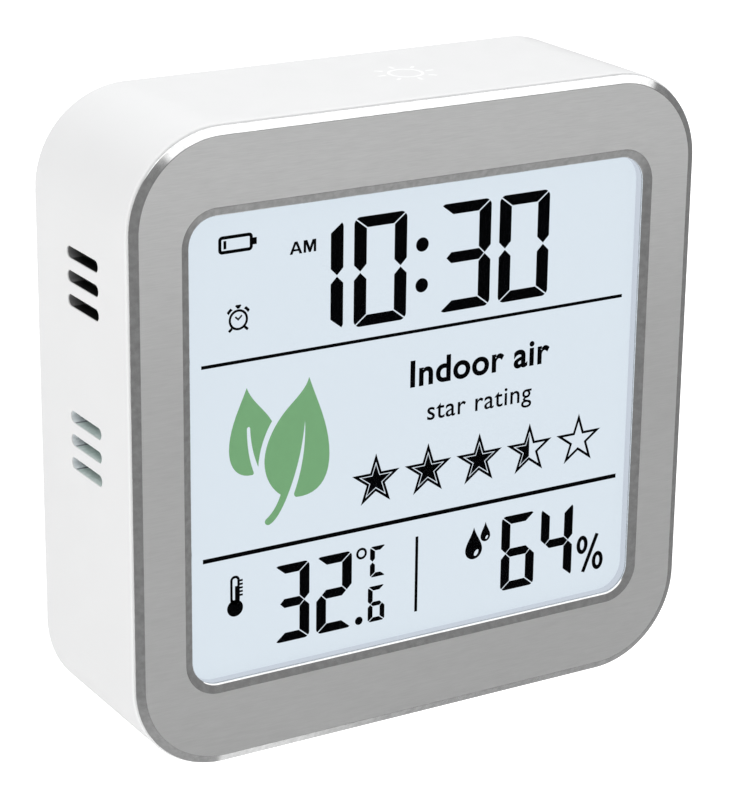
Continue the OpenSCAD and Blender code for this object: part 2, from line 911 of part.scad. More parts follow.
// A flat door with a rounded lower edge about its hinge pins, and a springy tongue at the top
module battery_door() {
  door_z1 = bay_z1 - gap;
  ear_x = door_w / 2 - ear_l;
  color("white") at_middle() difference() {
    union() {
      block([-door_w / 2, door_in, hinge_z], [door_w / 2, cover_out, door_z1]);
      intersection() {
        axle(hinge_y, hinge_z, hinge_edge_r, -door_w / 2, door_w / 2);
        block(
          [-door_w, door_in, hinge_z - hinge_edge_r - past],
          [door_w, cover_out + past, hinge_z + overlap]
        );
      }
      for (side = [-1, 1]) {
        x_in = min(side * ear_x, side * door_w / 2);
        axle(hinge_y, hinge_z, ear_r, x_in, x_in + ear_l);
        block([x_in, hinge_y, hinge_z], [x_in + ear_l, door_in + overlap, hinge_z + ear_r]);
      }
      axle_stub(1);
      axle_stub(-1);
      for (x = rib_xs)
        block(
          [x - rib_t / 2, door_in - rib_d, hinge_z + rib_foot],
          [x + rib_t / 2, door_in + overlap, door_z1 - rib_top]
        );
    }
    for (side = [-1, 1])
      translate([side * (tongue_w + tongue_slit) / 2, 0, 0])
        block(
          [-tongue_slit / 2, door_in - past, door_z1 - tongue_l],
          [tongue_slit / 2, back_y, door_z1 + past]
        );
    for (i = [0 : 4])
      axle(
        cover_out, door_z1 - grip_top - i * grip_pitch, grip_r,
        grip_inset - tongue_w / 2, tongue_w / 2 - grip_inset
      );
  }
}

// One of the door's hinge pins, which stands out into the bay's side wall
module axle_stub(side) {
  x_in = side * door_w / 2;
  x_out = side * (door_w / 2 + pin_l);
  axle(hinge_y, hinge_z, door_pin_r, min(x_in, x_out) - overlap, max(x_in, x_out) + overlap);
}

// ---- keys ----

module key(i) {
  color("#e4e5e6") at_middle() translate([key_x(i), 0, key_z]) {
    flange_back = cover_in - flange_gap;
    key_slab(0, flange_back - overlap, cover_out + key_proud);
    key_slab(flange, flange_back - flange_t, flange_back);
    rod(0, 0, stem_r, plunger_back, flange_back - flange_t + overlap);
  }
}

module plunger(i) {
  color("#c9c9cb") at_middle() translate([key_x(i), 0, key_z])
    rod(0, 0, plunger_r, board_back + switch_floor + key_travel + flange_gap, plunger_back);
}

module mode_button() key(0);
module alarm_button() key(1);
module up_button() key(2);
module down_button() key(3);
module mode_plunger() plunger(0);
module alarm_plunger() plunger(1);
module up_plunger() plunger(2);
module down_plunger() plunger(3);

main_housing();
bezel_plate();
bezel_adhesive();
display_lens();
lcd_front_polariser();
lcd_front_glass();
lcd_rear_glass();
lcd_rear_polariser();
diffuser_film();
light_guide();
reflector_film();
backlight_leds();
lcd_holder();
zebra_strip();
main_board();
driver_chip();
clock_crystal();
board_parts();
board_screws();
tact_switches();
sensor_board();
gas_sensor();
humidity_sensor();
sensor_header();
touch_electrode();
buzzer();
buzzer_leads();
rear_cover();
cover_screws();
battery_cells();
contact_springs();
contact_plates();
positive_lead();
negative_lead();
battery_door();
mode_button();
alarm_button();
up_button();
down_button();
mode_plunger();
alarm_plunger();
up_plunger();
down_plunger();
rubber_feet();
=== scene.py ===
import math

import bmesh
import bpy
from mathutils import Matrix, Vector


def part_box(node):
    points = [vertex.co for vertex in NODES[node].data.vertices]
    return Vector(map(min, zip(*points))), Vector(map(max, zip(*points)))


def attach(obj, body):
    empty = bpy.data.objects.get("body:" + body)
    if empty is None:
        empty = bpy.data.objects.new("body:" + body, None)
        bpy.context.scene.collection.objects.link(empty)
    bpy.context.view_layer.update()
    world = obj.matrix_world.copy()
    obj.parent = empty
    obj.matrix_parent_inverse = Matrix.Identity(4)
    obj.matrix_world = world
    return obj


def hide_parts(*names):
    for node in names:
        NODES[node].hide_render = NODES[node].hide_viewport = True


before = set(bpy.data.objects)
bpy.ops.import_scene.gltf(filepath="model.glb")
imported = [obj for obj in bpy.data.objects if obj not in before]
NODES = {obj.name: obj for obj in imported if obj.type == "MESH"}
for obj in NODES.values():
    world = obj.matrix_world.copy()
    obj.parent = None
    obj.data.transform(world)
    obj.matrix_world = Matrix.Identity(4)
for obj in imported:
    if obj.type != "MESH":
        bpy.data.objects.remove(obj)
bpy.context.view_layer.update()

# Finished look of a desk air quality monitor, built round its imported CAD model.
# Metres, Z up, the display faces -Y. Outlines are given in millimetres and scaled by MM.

MM = 0.001

PLATE_LOW, PLATE_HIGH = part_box("bezel_plate")
CELLS_LOW, CELLS_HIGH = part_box("battery_cells")
FILM_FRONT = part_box("lcd_front_polariser")[0].y
LENS_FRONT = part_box("display_lens")[0].y
CASE_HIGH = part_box("main_housing")[1]
DOOR_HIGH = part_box("battery_door")[1]
MIDDLE_Z = (PLATE_LOW.z + PLATE_HIGH.z) / 2

# ---------------------------------------------------------------- camera and light

CAMERA_TARGET = Vector((1.57, 3.0, 38.31)) * MM
CAMERA_DISTANCE = 366.9 * MM
CAMERA_YAW = math.radians(-30.97)
CAMERA_RISE = math.radians(19.2)
CAMERA_ROLL = math.radians(0.676)
CAMERA_LENS = 127.8

SKY_LIGHT = 1.28       # what overhead surfaces are lit by
DARK_BAND = 0.215      # the unlit room round the table, which polished edges mirror
SKY_EDGE = 0.295       # height at which the dark band ends, as the sine of its elevation
LEFT_SKY_EDGE = 0.395  # the same on the left, where the room is darker
SKY_BLUR = 0.03        # half the height over which the band turns into the sky
SIDE_DIMMING = 0.85    # how much darker the low sky is on the left
LOW_GLOW = 0.12        # how much brighter it is below the table, as a part of the sky
PATCH_GLOW = 0.5       # and in a patch below the table on the right
FLOOR_GLOW = 1.0


def make_camera():
    back = Vector((
        math.sin(CAMERA_YAW) * math.cos(CAMERA_RISE),
        -math.cos(CAMERA_YAW) * math.cos(CAMERA_RISE),
        math.sin(CAMERA_RISE),
    ))
    right = (-back).cross(Vector((0, 0, 1))).normalized()
    up = right.cross(-back)
    tilted_right = right * math.cos(CAMERA_ROLL) + up * math.sin(CAMERA_ROLL)
    tilted_up = up * math.cos(CAMERA_ROLL) - right * math.sin(CAMERA_ROLL)
    place = CAMERA_TARGET + back * CAMERA_DISTANCE
    turn = Matrix((tilted_right, tilted_up, back)).transposed()
    data = bpy.data.cameras.new("camera")
    data.lens = CAMERA_LENS
    data.clip_start = 10 * MM
    data.clip_end = 50
    camera = bpy.data.objects.new("camera", data)
    camera.matrix_world = Matrix.Translation(place) @ turn.to_4x4()
    bpy.context.scene.collection.objects.link(camera)
    bpy.context.scene.camera = camera


def make_world():
    """White overhead, a dark band round the horizon and a bright patch low on the right.

    The camera itself sees plain white.
    """
    world = bpy.data.worlds.new("studio")
    bpy.context.scene.world = world
    world.use_nodes = True
    tree = world.node_tree
    tree.nodes.clear()
    direction = split(tree, add(tree, "ShaderNodeTexCoord").outputs["Generated"])
    x, z = direction["X"], direction["Z"]
    dimming = times(tree, step(tree, x, -0.2, -0.7), step(tree, z, 0.75, 0.45), SIDE_DIMMING)
    edge_rise = times(tree, step(tree, x, 0.38, 0.12), LEFT_SKY_EDGE - SKY_EDGE)
    over_edge = math_node(tree, "SUBTRACT", z, edge_rise)
    sky = step(tree, over_edge, SKY_EDGE - SKY_BLUR, SKY_EDGE + SKY_BLUR)
    sky = times(tree, sky, math_node(tree, "SUBTRACT", 1, dimming))
    patch = times(tree, step(tree, x, 0.36, 0.41), step(tree, x, 0.476, 0.43))
    patch = times(tree, step(tree, z, -0.78, -0.86), patch, PATCH_GLOW)
    below = times(tree, step(tree, z, -0.3, -0.8), LOW_GLOW)
    below = math_node(tree, "ADD", below, patch)
    total = math_node(tree, "MAXIMUM", sky, below)
    strength = add(tree, "ShaderNodeMapRange")
    tree.links.new(total, strength.inputs["Value"])
    strength.inputs["To Min"].default_value = DARK_BAND
    strength.inputs["To Max"].default_value = SKY_LIGHT
    seen = add(tree, "ShaderNodeBackground")
    seen.inputs["Color"].default_value = (1, 1, 1, 1)
    lit = add(tree, "ShaderNodeBackground")
    lit.inputs["Color"].default_value = (0.99, 0.995, 1, 1)
    tree.links.new(strength.outputs["Result"], lit.inputs["Strength"])
    either = add(tree, "ShaderNodeMixShader")
    tree.links.new(add(tree, "ShaderNodeLightPath").outputs["Is Camera Ray"], either.inputs[0])
    tree.links.new(lit.outputs[0], either.inputs[1])
    tree.links.new(seen.outputs[0], either.inputs[2])
    tree.links.new(either.outputs[0], add(tree, "ShaderNodeOutputWorld").inputs["Surface"])


def make_area_light(name, place, target, size, power):
    data = bpy.data.lights.new(name, "AREA")
    data.shape = "DISK"
    data.size = size
    data.energy = power
    light = bpy.data.objects.new(name, data)
    light.location = place
    light.rotation_euler = (Vector(target) - Vector(place)).to_track_quat("-Z", "Y").to_euler()
    bpy.context.scene.collection.objects.link(light)


def make_floor():
    """A pale light table, which metal doesn't mirror."""
    half = 4.0
    corners = [(-half, -half, 0), (half, -half, 0), (half, half, 0), (-half, half, 0)]
    mesh = bpy.data.meshes.new("floor")
    mesh.from_pydata(corners, [], [(0, 1, 2, 3)])
    floor = bpy.data.objects.new("floor", mesh)
    bpy.context.scene.collection.objects.link(floor)
    material, tree, shader = new_material("pale_floor")
    shader.inputs["Roughness"].default_value = 0.9
    shader.inputs["Specular IOR Level"].default_value = 0.0
    shader.inputs["Base Color"].default_value = (0.5, 0.5, 0.5, 1)
    shader.inputs["Emission Color"].default_value = (1, 1, 1, 1)
    shader.inputs["Emission Strength"].default_value = FLOOR_GLOW
    mesh.materials.append(material)
    floor.visible_glossy = False


# ---------------------------------------------------------------- material nodes

def new_material(name):
    material = bpy.data.materials.new(name)
    material.use_nodes = True
    return material, material.node_tree, material.node_tree.nodes["Principled BSDF"]


def add(tree, kind, **settings):
    node = tree.nodes.new(kind)
    for key, value in settings.items():
        setattr(node, key, value)
    return node


def math_node(tree, operation, *values):
    node = add(tree, "ShaderNodeMath", operation=operation)
    for socket, value in zip(node.inputs, values):
        if isinstance(value, (int, float)):
            socket.default_value = value
        else:
            tree.links.new(value, socket)
    return node.outputs[0]


def times(tree, first, *others):
    for other in others:
        first = math_node(tree, "MULTIPLY", first, other)
    return first


def split(tree, vector):
    node = add(tree, "ShaderNodeSeparateXYZ")
    tree.links.new(vector, node.inputs[0])
    return node.outputs


def object_place(tree):
    """X, Y and Z of the shaded point in the object's own frame, in metres."""
    return split(tree, add(tree, "ShaderNodeTexCoord").outputs["Object"])


def step(tree, value, start, end):
    """0 before start, 1 after end, smooth between them."""
    node = add(tree, "ShaderNodeMapRange", interpolation_type="SMOOTHSTEP")
    tree.links.new(value, node.inputs["Value"])
    node.inputs["From Min"].default_value = start
    node.inputs["From Max"].default_value = end
    return node.outputs["Result"]


def within(tree, value, low, high, blur):
    """1 between low and high, 0 outside."""
    return times(tree, step(tree, value, low - blur, low), step(tree, value, high + blur, high))


def noise(tree, size, detail=3, stretch=(1, 1, 1)):
    """Noise whose grains are about size metres across, stretched along each axis."""
    place = add(tree, "ShaderNodeTexCoord")
    mapping = add(tree, "ShaderNodeMapping")
    mapping.inputs["Scale"].default_value = [1 / (size * s) for s in stretch]
    texture = add(tree, "ShaderNodeTexNoise")
    texture.inputs["Scale"].default_value = 1
    texture.inputs["Detail"].default_value = detail
    tree.links.new(place.outputs["Object"], mapping.inputs["Vector"])
    tree.links.new(mapping.outputs[0], texture.inputs["Vector"])
    return texture.outputs["Fac"]


def spread(tree, value, low, high):
    """Turns noise into a value that goes from low to high."""
    node = add(tree, "ShaderNodeMapRange")
    tree.links.new(value, node.inputs["Value"])
    node.inputs["From Min"].default_value = 0.3
    node.inputs["From Max"].default_value = 0.7
    node.inputs["To Min"].default_value = low
    node.inputs["To Max"].default_value = high
    return node.outputs["Result"]


def between(tree, factor, dark, light):
    """A colour between two, by factor. Each of them is a colour or the output of a node."""
    node = add(tree, "ShaderNodeMix", data_type="RGBA")
    tree.links.new(factor, node.inputs["Factor"])
    for socket, colour in ((node.inputs[6], dark), (node.inputs[7], light)):
        if isinstance(colour, tuple):
            socket.default_value = (*colour, 1)
        else:
            tree.links.new(colour, socket)
    return node.outputs[2]


def relief(tree, shader, height, depth, strength=1.0):
    node = add(tree, "ShaderNodeBump")
    node.inputs["Strength"].default_value = strength
    node.inputs["Distance"].default_value = depth
    tree.links.new(height, node.inputs["Height"])
    tree.links.new(node.outputs[0], shader.inputs["Normal"])


def tint(colour, factor):
    return tuple(min(1, c * factor) for c in colour)


# ---------------------------------------------------------------- materials

def mottled(tree, colour, size, vary):
    """A colour with faint cloudy unevenness."""
    clouds = spread(tree, noise(tree, size, 4), 0, 1)
    return between(tree, clouds, tint(colour, 1 - vary), tint(colour, 1 + vary))


def moulded(name, colour, roughness, grain=0.25 * MM, depth=0.004 * MM, vary=0.03, specular=0.5):
    """Moulded plastic or rubber with a fine grain and faint unevenness in colour and gloss."""
    material, tree, shader = new_material(name)
    tree.links.new(mottled(tree, colour, 14 * MM, vary), shader.inputs["Base Color"])
    gloss = spread(tree, noise(tree, 3 * MM), roughness - 0.05, roughness + 0.05)
    tree.links.new(gloss, shader.inputs["Roughness"])
    shader.inputs["Specular IOR Level"].default_value = specular
    relief(tree, shader, noise(tree, grain), depth)
    return material


def metal(name, colour, roughness, scratch=(1, 1, 1), size=0.3 * MM, depth=0.002 * MM, vary=0.06):
    """Bare metal with fine scratches along the axis that scratch stretches."""
    material, tree, shader = new_material(name)
    lines = noise(tree, size, 3, scratch)
    shade = between(tree, spread(tree, lines, 0, 1), tint(colour, 1 - vary), tint(colour, 1 + vary))
    tree.links.new(shade, shader.inputs["Base Color"])
    shader.inputs["Metallic"].default_value = 1
    gloss = spread(tree, noise(tree, 2 * MM), roughness - 0.04, roughness + 0.04)
    tree.links.new(gloss, shader.inputs["Roughness"])
    relief(tree, shader, lines, depth)
    return material


# Where the vents are, and the depth over which the painted shade inside them sets in
VENT_DEPTH_FROM = CASE_HIGH.x - 0.08 * MM
VENT_DEPTH_TO = CASE_HIGH.x - 0.22 * MM
VENT_HALF_L = 5.0 * MM
VENT_HALF_H = 5.2 * MM
UPPER_VENT_Z = MIDDLE_Z + 20 * MM
LOWER_VENT_Z = MIDDLE_Z - 0.85 * MM
VENT_END_Y = 2.6 * MM


def housing_plastic():
    """White plastic; inside the vents painted shade makes it near black above, and below it is painted
    pale green-grey, the look of the sensor board behind, with a painted shadow line.
    """
    material, tree, shader = new_material("housing_white")
    x, y, z = object_place(tree)
    # Painted shade: the masks below pick out the walls of the vents, whose colours stand for the shade
    # inside the case.
    inside = step(tree, math_node(tree, "ABSOLUTE", x), VENT_DEPTH_FROM, VENT_DEPTH_TO)
    near = times(tree, inside, within(tree, y, -VENT_HALF_L, VENT_HALF_L, MM))
    rear_end = step(tree, y, VENT_END_Y, VENT_END_Y + 0.5 * MM)
    streaks = spread(tree, noise(tree, 0.9 * MM, 3), 0, 1)
    # A painted shadow line where each lower slot's end wall meets its floor.
    corner = within(tree, y, VENT_END_Y, VENT_END_Y + 0.3 * MM, 0.1 * MM)
    # Upper vents: painted shade, near black on the floor and mid grey on the rear end wall.
    dark = between(tree, rear_end, (0.003, 0.003, 0.003), (0.2, 0.2, 0.2))
    # Lower vents: painted green-grey, the look of the sensor board behind them, with a pale grey end
    # wall.
    green = between(tree, streaks, (0.50, 0.60, 0.57), (0.72, 0.78, 0.77))
    pale = between(tree, rear_end, green, (0.80, 0.84, 0.86))
    pale = between(tree, corner, pale, (0.22, 0.23, 0.25))
    upper, lower = (
        times(tree, near, within(tree, z, middle - VENT_HALF_H, middle + VENT_HALF_H, MM))
        for middle in (UPPER_VENT_Z, LOWER_VENT_Z)
    )
    shade = between(tree, upper, mottled(tree, WHITE_COLOUR, 14 * MM, 0.006), dark)
    shade = between(tree, lower, shade, pale)
    tree.links.new(shade, shader.inputs["Base Color"])
    gloss = spread(tree, noise(tree, 3 * MM), 0.37, 0.47)
    tree.links.new(gloss, shader.inputs["Roughness"])
    relief(tree, shader, noise(tree, 0.18 * MM), 0.0015 * MM)
    return material


def brushed_metal():
    """The bezel's face: fine horizontal brushing, with painted light that makes it a little brighter
    towards the top.
    """
    material, tree, shader = new_material("brushed_metal")
    fine = noise(tree, 0.12 * MM, 3, (16, 1, 1))
    broad = noise(tree, 0.5 * MM, 2, (9, 1, 1))
    lines = math_node(tree, "ADD", times(tree, fine, 0.7), times(tree, broad, 0.3))
    # Painted light: the face's colour grows lighter towards the top, as the light falls on it.
    height = step(tree, object_place(tree)["Z"], MIDDLE_Z, PLATE_HIGH.z - 3 * MM)
    painted_light_ramp = between(tree, height, (0.672, 0.672, 0.667), (0.796, 0.796, 0.791))
    worn = between(tree, spread(tree, lines, 0, 1), (0.90, 0.90, 0.90), (1, 1, 1))
    shade = add(tree, "ShaderNodeMix", data_type="RGBA", blend_type="MULTIPLY")
    shade.inputs["Factor"].default_value = 1
    tree.links.new(painted_light_ramp, shade.inputs[6])
    tree.links.new(worn, shade.inputs[7])
    tree.links.new(shade.outputs[2], shader.inputs["Base Color"])
    shader.inputs["Metallic"].default_value = 0.78
    tree.links.new(spread(tree, fine, 0.48, 0.56), shader.inputs["Roughness"])
    shader.inputs["Specular IOR Level"].default_value = 0.3
    shader.inputs["Anisotropic"].default_value = 0.6
    shader.inputs["Anisotropic Rotation"].default_value = 0.25
    tangent = add(tree, "ShaderNodeTangent", direction_type="RADIAL", axis="Z")
    tree.links.new(tangent.outputs[0], shader.inputs["Tangent"])
    relief(tree, shader, fine, 0.0008 * MM)
    return material


def polished_metal():
    """The bezel's chamfer and bevel: mirror-bright, with faint wipe marks."""
    material, tree, shader = new_material("polished_metal")
    clouds = noise(tree, 0.9 * MM, 5)
    shade = between(tree, spread(tree, clouds, 0, 1), (0.80, 0.80, 0.795), (0.98, 0.98, 0.975))
    tree.links.new(shade, shader.inputs["Base Color"])
    shader.inputs["Metallic"].default_value = 1
    tree.links.new(spread(tree, noise(tree, 2.5 * MM), 0.10, 0.16), shader.inputs["Roughness"])
    relief(tree, shader, noise(tree, 0.4 * MM), 0.001 * MM)
    return material


def clear_window():
    """Coated clear plastic: seen through, with a weak mirror of what is in front."""
    material, tree, shader = new_material("clear_window")
    tree.nodes.remove(shader)
    through = add(tree, "ShaderNodeBsdfTransparent")
    through.inputs["Color"].default_value = (0.985, 0.99, 0.995, 1)
    mirror = add(tree, "ShaderNodeBsdfAnisotropic")
    tree.links.new(spread(tree, noise(tree, 4 * MM), 0.02, 0.06), mirror.inputs["Roughness"])
    edge = add(tree, "ShaderNodeFresnel")
    edge.inputs["IOR"].default_value = 1.1
    inner_side = add(tree, "ShaderNodeNewGeometry").outputs["Backfacing"]
    mirrored = times(tree, edge.outputs[0], math_node(tree, "SUBTRACT", 1, inner_side))
    mix = add(tree, "ShaderNodeMixShader")
    tree.links.new(mirrored, mix.inputs[0])
    tree.links.new(through.outputs[0], mix.inputs[1])
    tree.links.new(mirror.outputs[0], mix.inputs[2])
    tree.links.new(mix.outputs[0], tree.nodes["Material Output"].inputs["Surface"])
    return material


def backlight_and_painted_glow(name, glow):
    """The display's ground and its rim: pale and glowing, with a faint grain. On the ground the glow
    stands for the backlight and is raised as painted light that hides the shade near the opening's
    edges; on the rim it is painted light.
    """
    material, tree, shader = new_material(name)
    # Painted light: a dark base and a strong glow, so that shade near the opening's edges hardly
    # shows.
    tree.links.new(mottled(tree, (0.07, 0.077, 0.082), 9 * MM, 0.02), shader.inputs["Base Color"])
    tree.links.new(mottled(tree, glow, 12 * MM, 0.002), shader.inputs["Emission Color"])
    shader.inputs["Emission Strength"].default_value = 0.85
    tree.links.new(spread(tree, noise(tree, 1.5 * MM), 0.55, 0.65), shader.inputs["Roughness"])
    shader.inputs["Specular IOR Level"].default_value = 0.1
    relief(tree, shader, noise(tree, 0.12 * MM), 0.001 * MM)
    return material


def ink(name, colour, vary=0.06):
    """A display segment or a print: one dense colour with a hint of unevenness."""
    material, tree, shader = new_material(name)
    tree.links.new(mottled(tree, colour, 0.5 * MM, vary), shader.inputs["Base Color"])
    tree.links.new(spread(tree, noise(tree, 0.5 * MM), 0.75, 0.85), shader.inputs["Roughness"])
    shader.inputs["Specular IOR Level"].default_value = 0.0
    return material


def clear_plastic(name, colour, roughness):
    """Glass or acrylic with faint flow marks."""
    material, tree, shader = new_material(name)
    tree.links.new(mottled(tree, colour, 8 * MM, 0.02), shader.inputs["Base Color"])
    shader.inputs["Transmission Weight"].default_value = 0.85
    gloss = spread(tree, noise(tree, 5 * MM), roughness, roughness + 0.04)
    tree.links.new(gloss, shader.inputs["Roughness"])
    relief(tree, shader, noise(tree, 2 * MM), 0.001 * MM)
    return material


def circuit_board(name, mask_colour, trace_colour):
    """Solder mask over faint traces and speckled glass cloth."""
    material, tree, shader = new_material(name)
    cells = add(tree, "ShaderNodeTexBrick")
    cells.inputs["Scale"].default_value = 1 / (4 * MM)
    cells.inputs["Mortar Size"].default_value = 0.06
    cells.inputs["Color1"].default_value = (*mask_colour, 1)
    cells.inputs["Color2"].default_value = (*tint(mask_colour, 0.9), 1)
    cells.inputs["Mortar"].default_value = (*trace_colour, 1)
    flat = add(tree, "ShaderNodeCombineXYZ")
    x, y, z = object_place(tree)
    tree.links.new(math_node(tree, "ADD", x, y), flat.inputs[0])
    tree.links.new(z, flat.inputs[1])
    tree.links.new(flat.outputs[0], cells.inputs["Vector"])
    tree.links.new(cells.outputs["Color"], shader.inputs["Base Color"])
    tree.links.new(spread(tree, noise(tree, MM), 0.32, 0.42), shader.inputs["Roughness"])
    relief(tree, shader, cells.outputs["Fac"], 0.02 * MM, 0.4)
    return material


def layered_rubber():
    """The contact strip: fine dark and light layers along its length."""
    material, tree, shader = new_material("layered_rubber")
    wave = math_node(tree, "SINE", times(tree, object_place(tree)["X"], 2 * math.pi / (0.3 * MM)))
    shade = between(tree, step(tree, wave, -0.2, 0.2), (0.03, 0.03, 0.035), (0.22, 0.30, 0.38))
    tree.links.new(shade, shader.inputs["Base Color"])
    tree.links.new(spread(tree, noise(tree, MM), 0.55, 0.7), shader.inputs["Roughness"])
    return material


WHITE_COLOUR = (0.80, 0.80, 0.80)
HOUSING = housing_plastic()
WHITE = moulded("white_plastic", WHITE_COLOUR, 0.42, grain=0.18 * MM, depth=0.0015 * MM, vary=0.006)
PRINT_WHITE = ink("white_print", (0.93, 0.93, 0.93), 0.005)
PRINT_GREY = ink("grey_print", (0.12, 0.12, 0.125))
BRUSHED = brushed_metal()
POLISHED = polished_metal()
WINDOW = clear_window()
# Backlight, and painted light that lifts the shade near the opening's edges.
FILM = backlight_and_painted_glow("display_film", (0.769, 0.846, 0.913))
# Painted light: a glowing rim that stands for the lit wall of the opening seen through the lens.
PAINTED_GLOW_RIM = backlight_and_painted_glow("display_rim_painted_glow", (0.60, 0.65, 0.725))
SEGMENT = ink("segment_black", (0.0012, 0.0013, 0.0016))
GREEN = ink("segment_green", (0.170, 0.350, 0.170), 0.02)
CLEAR_FILM = moulded("adhesive_film", (0.72, 0.74, 0.76), 0.5, vary=0.02)
GLASS = clear_plastic("display_glass", (0.86, 0.93, 0.92), 0.02)
GUIDE = clear_plastic("guide_acrylic", (0.94, 0.96, 0.97), 0.06)
DARK_FILM = moulded("rear_polariser_film", (0.38, 0.42, 0.44), 0.3, vary=0.02)
WHITE_FILM = moulded("diffuser_white", (0.86, 0.86, 0.84), 0.6, vary=0.01)
SILVER_FILM = metal("reflector_silver", (0.88, 0.89, 0.90), 0.3, (6, 1, 1))
HOLDER = moulded("holder_white", (0.78, 0.78, 0.76), 0.45, vary=0.02)
LAMPS = moulded("lamp_yellow", (0.85, 0.72, 0.30), 0.35, vary=0.05)
ZEBRA = layered_rubber()
BOARD = circuit_board("main_board_green", (0.02, 0.12, 0.045), (0.05, 0.22, 0.09))
SENSOR_BOARD = circuit_board("sensor_board_pale", (0.36, 0.43, 0.40), (0.46, 0.52, 0.50))
BLACK = moulded("black_epoxy", (0.012, 0.012, 0.013), 0.5, vary=0.1)
CERAMIC = moulded("part_ceramic", (0.28, 0.20, 0.12), 0.4, vary=0.08)
SENSOR_CAP = metal("sensor_cap", (0.66, 0.67, 0.68), 0.3)
SENSOR_WHITE = moulded("sensor_ceramic", (0.62, 0.61, 0.57), 0.5)
GOLD = metal("header_gold", (0.83, 0.62, 0.26), 0.3)
STEEL = metal("bright_steel", (0.62, 0.62, 0.63), 0.26, (1, 1, 8))
SCREW = metal("screw_zinc", (0.55, 0.56, 0.58), 0.34)
COPPER = metal("copper_foil", (0.85, 0.46, 0.28), 0.32, (5, 1, 1))
RED = moulded("lead_red", (0.50, 0.02, 0.02), 0.4)
DARK = moulded("lead_black", (0.015, 0.015, 0.016), 0.45)
KEY_GREY = moulded("key_grey", (0.56, 0.57, 0.58), 0.48, vary=0.01)
RUBBER = moulded("foot_rubber", (0.52, 0.52, 0.50), 0.75, grain=0.12 * MM, depth=0.008 * MM)
SLEEVE = moulded("cell_sleeve", (0.03, 0.07, 0.13), 0.25, vary=0.05)
SLEEVE_BAND = moulded("cell_sleeve_band", (0.55, 0.34, 0.10), 0.25, vary=0.05)

FINISH = {
    "main_housing": HOUSING,
    "bezel_adhesive": CLEAR_FILM,
    "display_lens": WINDOW,
    "lcd_front_polariser": FILM,
    "lcd_front_glass": GLASS,
    "lcd_rear_glass": GLASS,
    "lcd_rear_polariser": DARK_FILM,
    "diffuser_film": WHITE_FILM,
    "light_guide": GUIDE,
    "reflector_film": SILVER_FILM,
    "backlight_leds": LAMPS,
    "lcd_holder": HOLDER,
    "zebra_strip": ZEBRA,
    "main_board": BOARD,
    "driver_chip": BLACK,
    "clock_crystal": STEEL,
    "board_parts": CERAMIC,
    "board_screws": SCREW,
    "tact_switches": BLACK,
    "sensor_board": SENSOR_BOARD,
    "gas_sensor": SENSOR_CAP,
    "humidity_sensor": SENSOR_WHITE,
    "sensor_header": GOLD,
    "touch_electrode": COPPER,
    "buzzer": BLACK,
    "buzzer_leads": DARK,
    "rear_cover": WHITE,
    "cover_screws": SCREW,
    "contact_plates": STEEL,
    "positive_lead": RED,
    "negative_lead": DARK,
    "battery_door": WHITE,
    "mode_button": KEY_GREY,
    "alarm_button": KEY_GREY,
    "up_button": KEY_GREY,
    "down_button": KEY_GREY,
    "mode_plunger": HOLDER,
    "alarm_plunger": HOLDER,
    "up_plunger": HOLDER,
    "down_plunger": HOLDER,
    "rubber_feet": RUBBER,
}
# How wide an edge each visible CAD part gets, and the angle from which an edge counts
EDGE_ROUNDING = {
    "rear_cover": 0.12 * MM,
    "battery_door": 0.12 * MM,
    "mode_button": 0.3 * MM,
    "alarm_button": 0.3 * MM,
    "up_button": 0.3 * MM,
    "down_button": 0.3 * MM,
    "rubber_feet": 0.15 * MM,
    "cover_screws": 0.12 * MM,
    "contact_plates": 0.05 * MM,
}
EDGE_ANGLE = math.radians(50)


def finish_nodes():
    """Gives every CAD part that stays in view its material, and the outer ones soft edges."""
    for name, material in FINISH.items():
        node = NODES[name]
        node.data.materials.clear()
        node.data.materials.append(material)
    for name, width in EDGE_ROUNDING.items():
        modifier = NODES[name].modifiers.new("soft_edges", "BEVEL")
        modifier.width = width
        modifier.segments = 3
        modifier.limit_method = "ANGLE"
        modifier.angle_limit = EDGE_ANGLE
        modifier.use_clamp_overlap = True
        modifier.harden_normals = False


# ---------------------------------------------------------------- mesh helpers

def add_piece(name, bm, body, slot, *materials):
    """Puts a finished mesh in the scene, riding on a CAD body."""
    bmesh.ops.recalc_face_normals(bm, faces=bm.faces)
    mesh = bpy.data.meshes.new(name)
    bm.to_mesh(mesh)
    bm.free()
    for material in materials:
        mesh.materials.append(material)
    piece = bpy.data.objects.new(name, mesh)
    bpy.context.scene.collection.objects.link(piece)
    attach(piece, body)
    return piece


def bridge(bm, first, second, material_index=0, smooth=True):
    """Faces between two closed loops with the same number of points."""
    count = len(first)
    for i in range(count):
        j = (i + 1) % count
        face = bm.faces.new((first[i], first[j], second[j], second[i]))
        face.material_index = material_index
        face.smooth = smooth


def weighted_normals(piece):
    modifier = piece.modifiers.new("even_shading", "WEIGHTED_NORMAL")
    modifier.keep_sharp = True
    modifier.weight = 50


def arc(x, z, radius, start, end, steps):
    """Points from one angle to another, in degrees."""
    return [
        (x + radius * math.cos(math.radians(a)), z + radius * math.sin(math.radians(a)))
        for a in (start + (end - start) * i / steps for i in range(steps + 1))
    ]


def circle(x, z, radius, steps=48):
    return arc(x, z, radius, 0, 360, steps)[:-1]


def rounded_box(x0, z0, x1, z1, radius, steps=8):
    corners = ((x1, z1, -1, -1), (x0, z1, 1, -1), (x0, z0, 1, 1), (x1, z0, -1, 1))
    points = []
    for turn, (x, z, sx, sz) in enumerate(corners):
        points += arc(x + sx * radius, z + sz * radius, radius, 90 * turn, 90 * turn + 90, steps)
    return points


def box_outline(x0, z0, x1, z1):
    return [(x0, z0), (x1, z0), (x1, z1), (x0, z1)]


def moved(outline, x, z):
    return [(x + px, z + pz) for px, pz in outline]


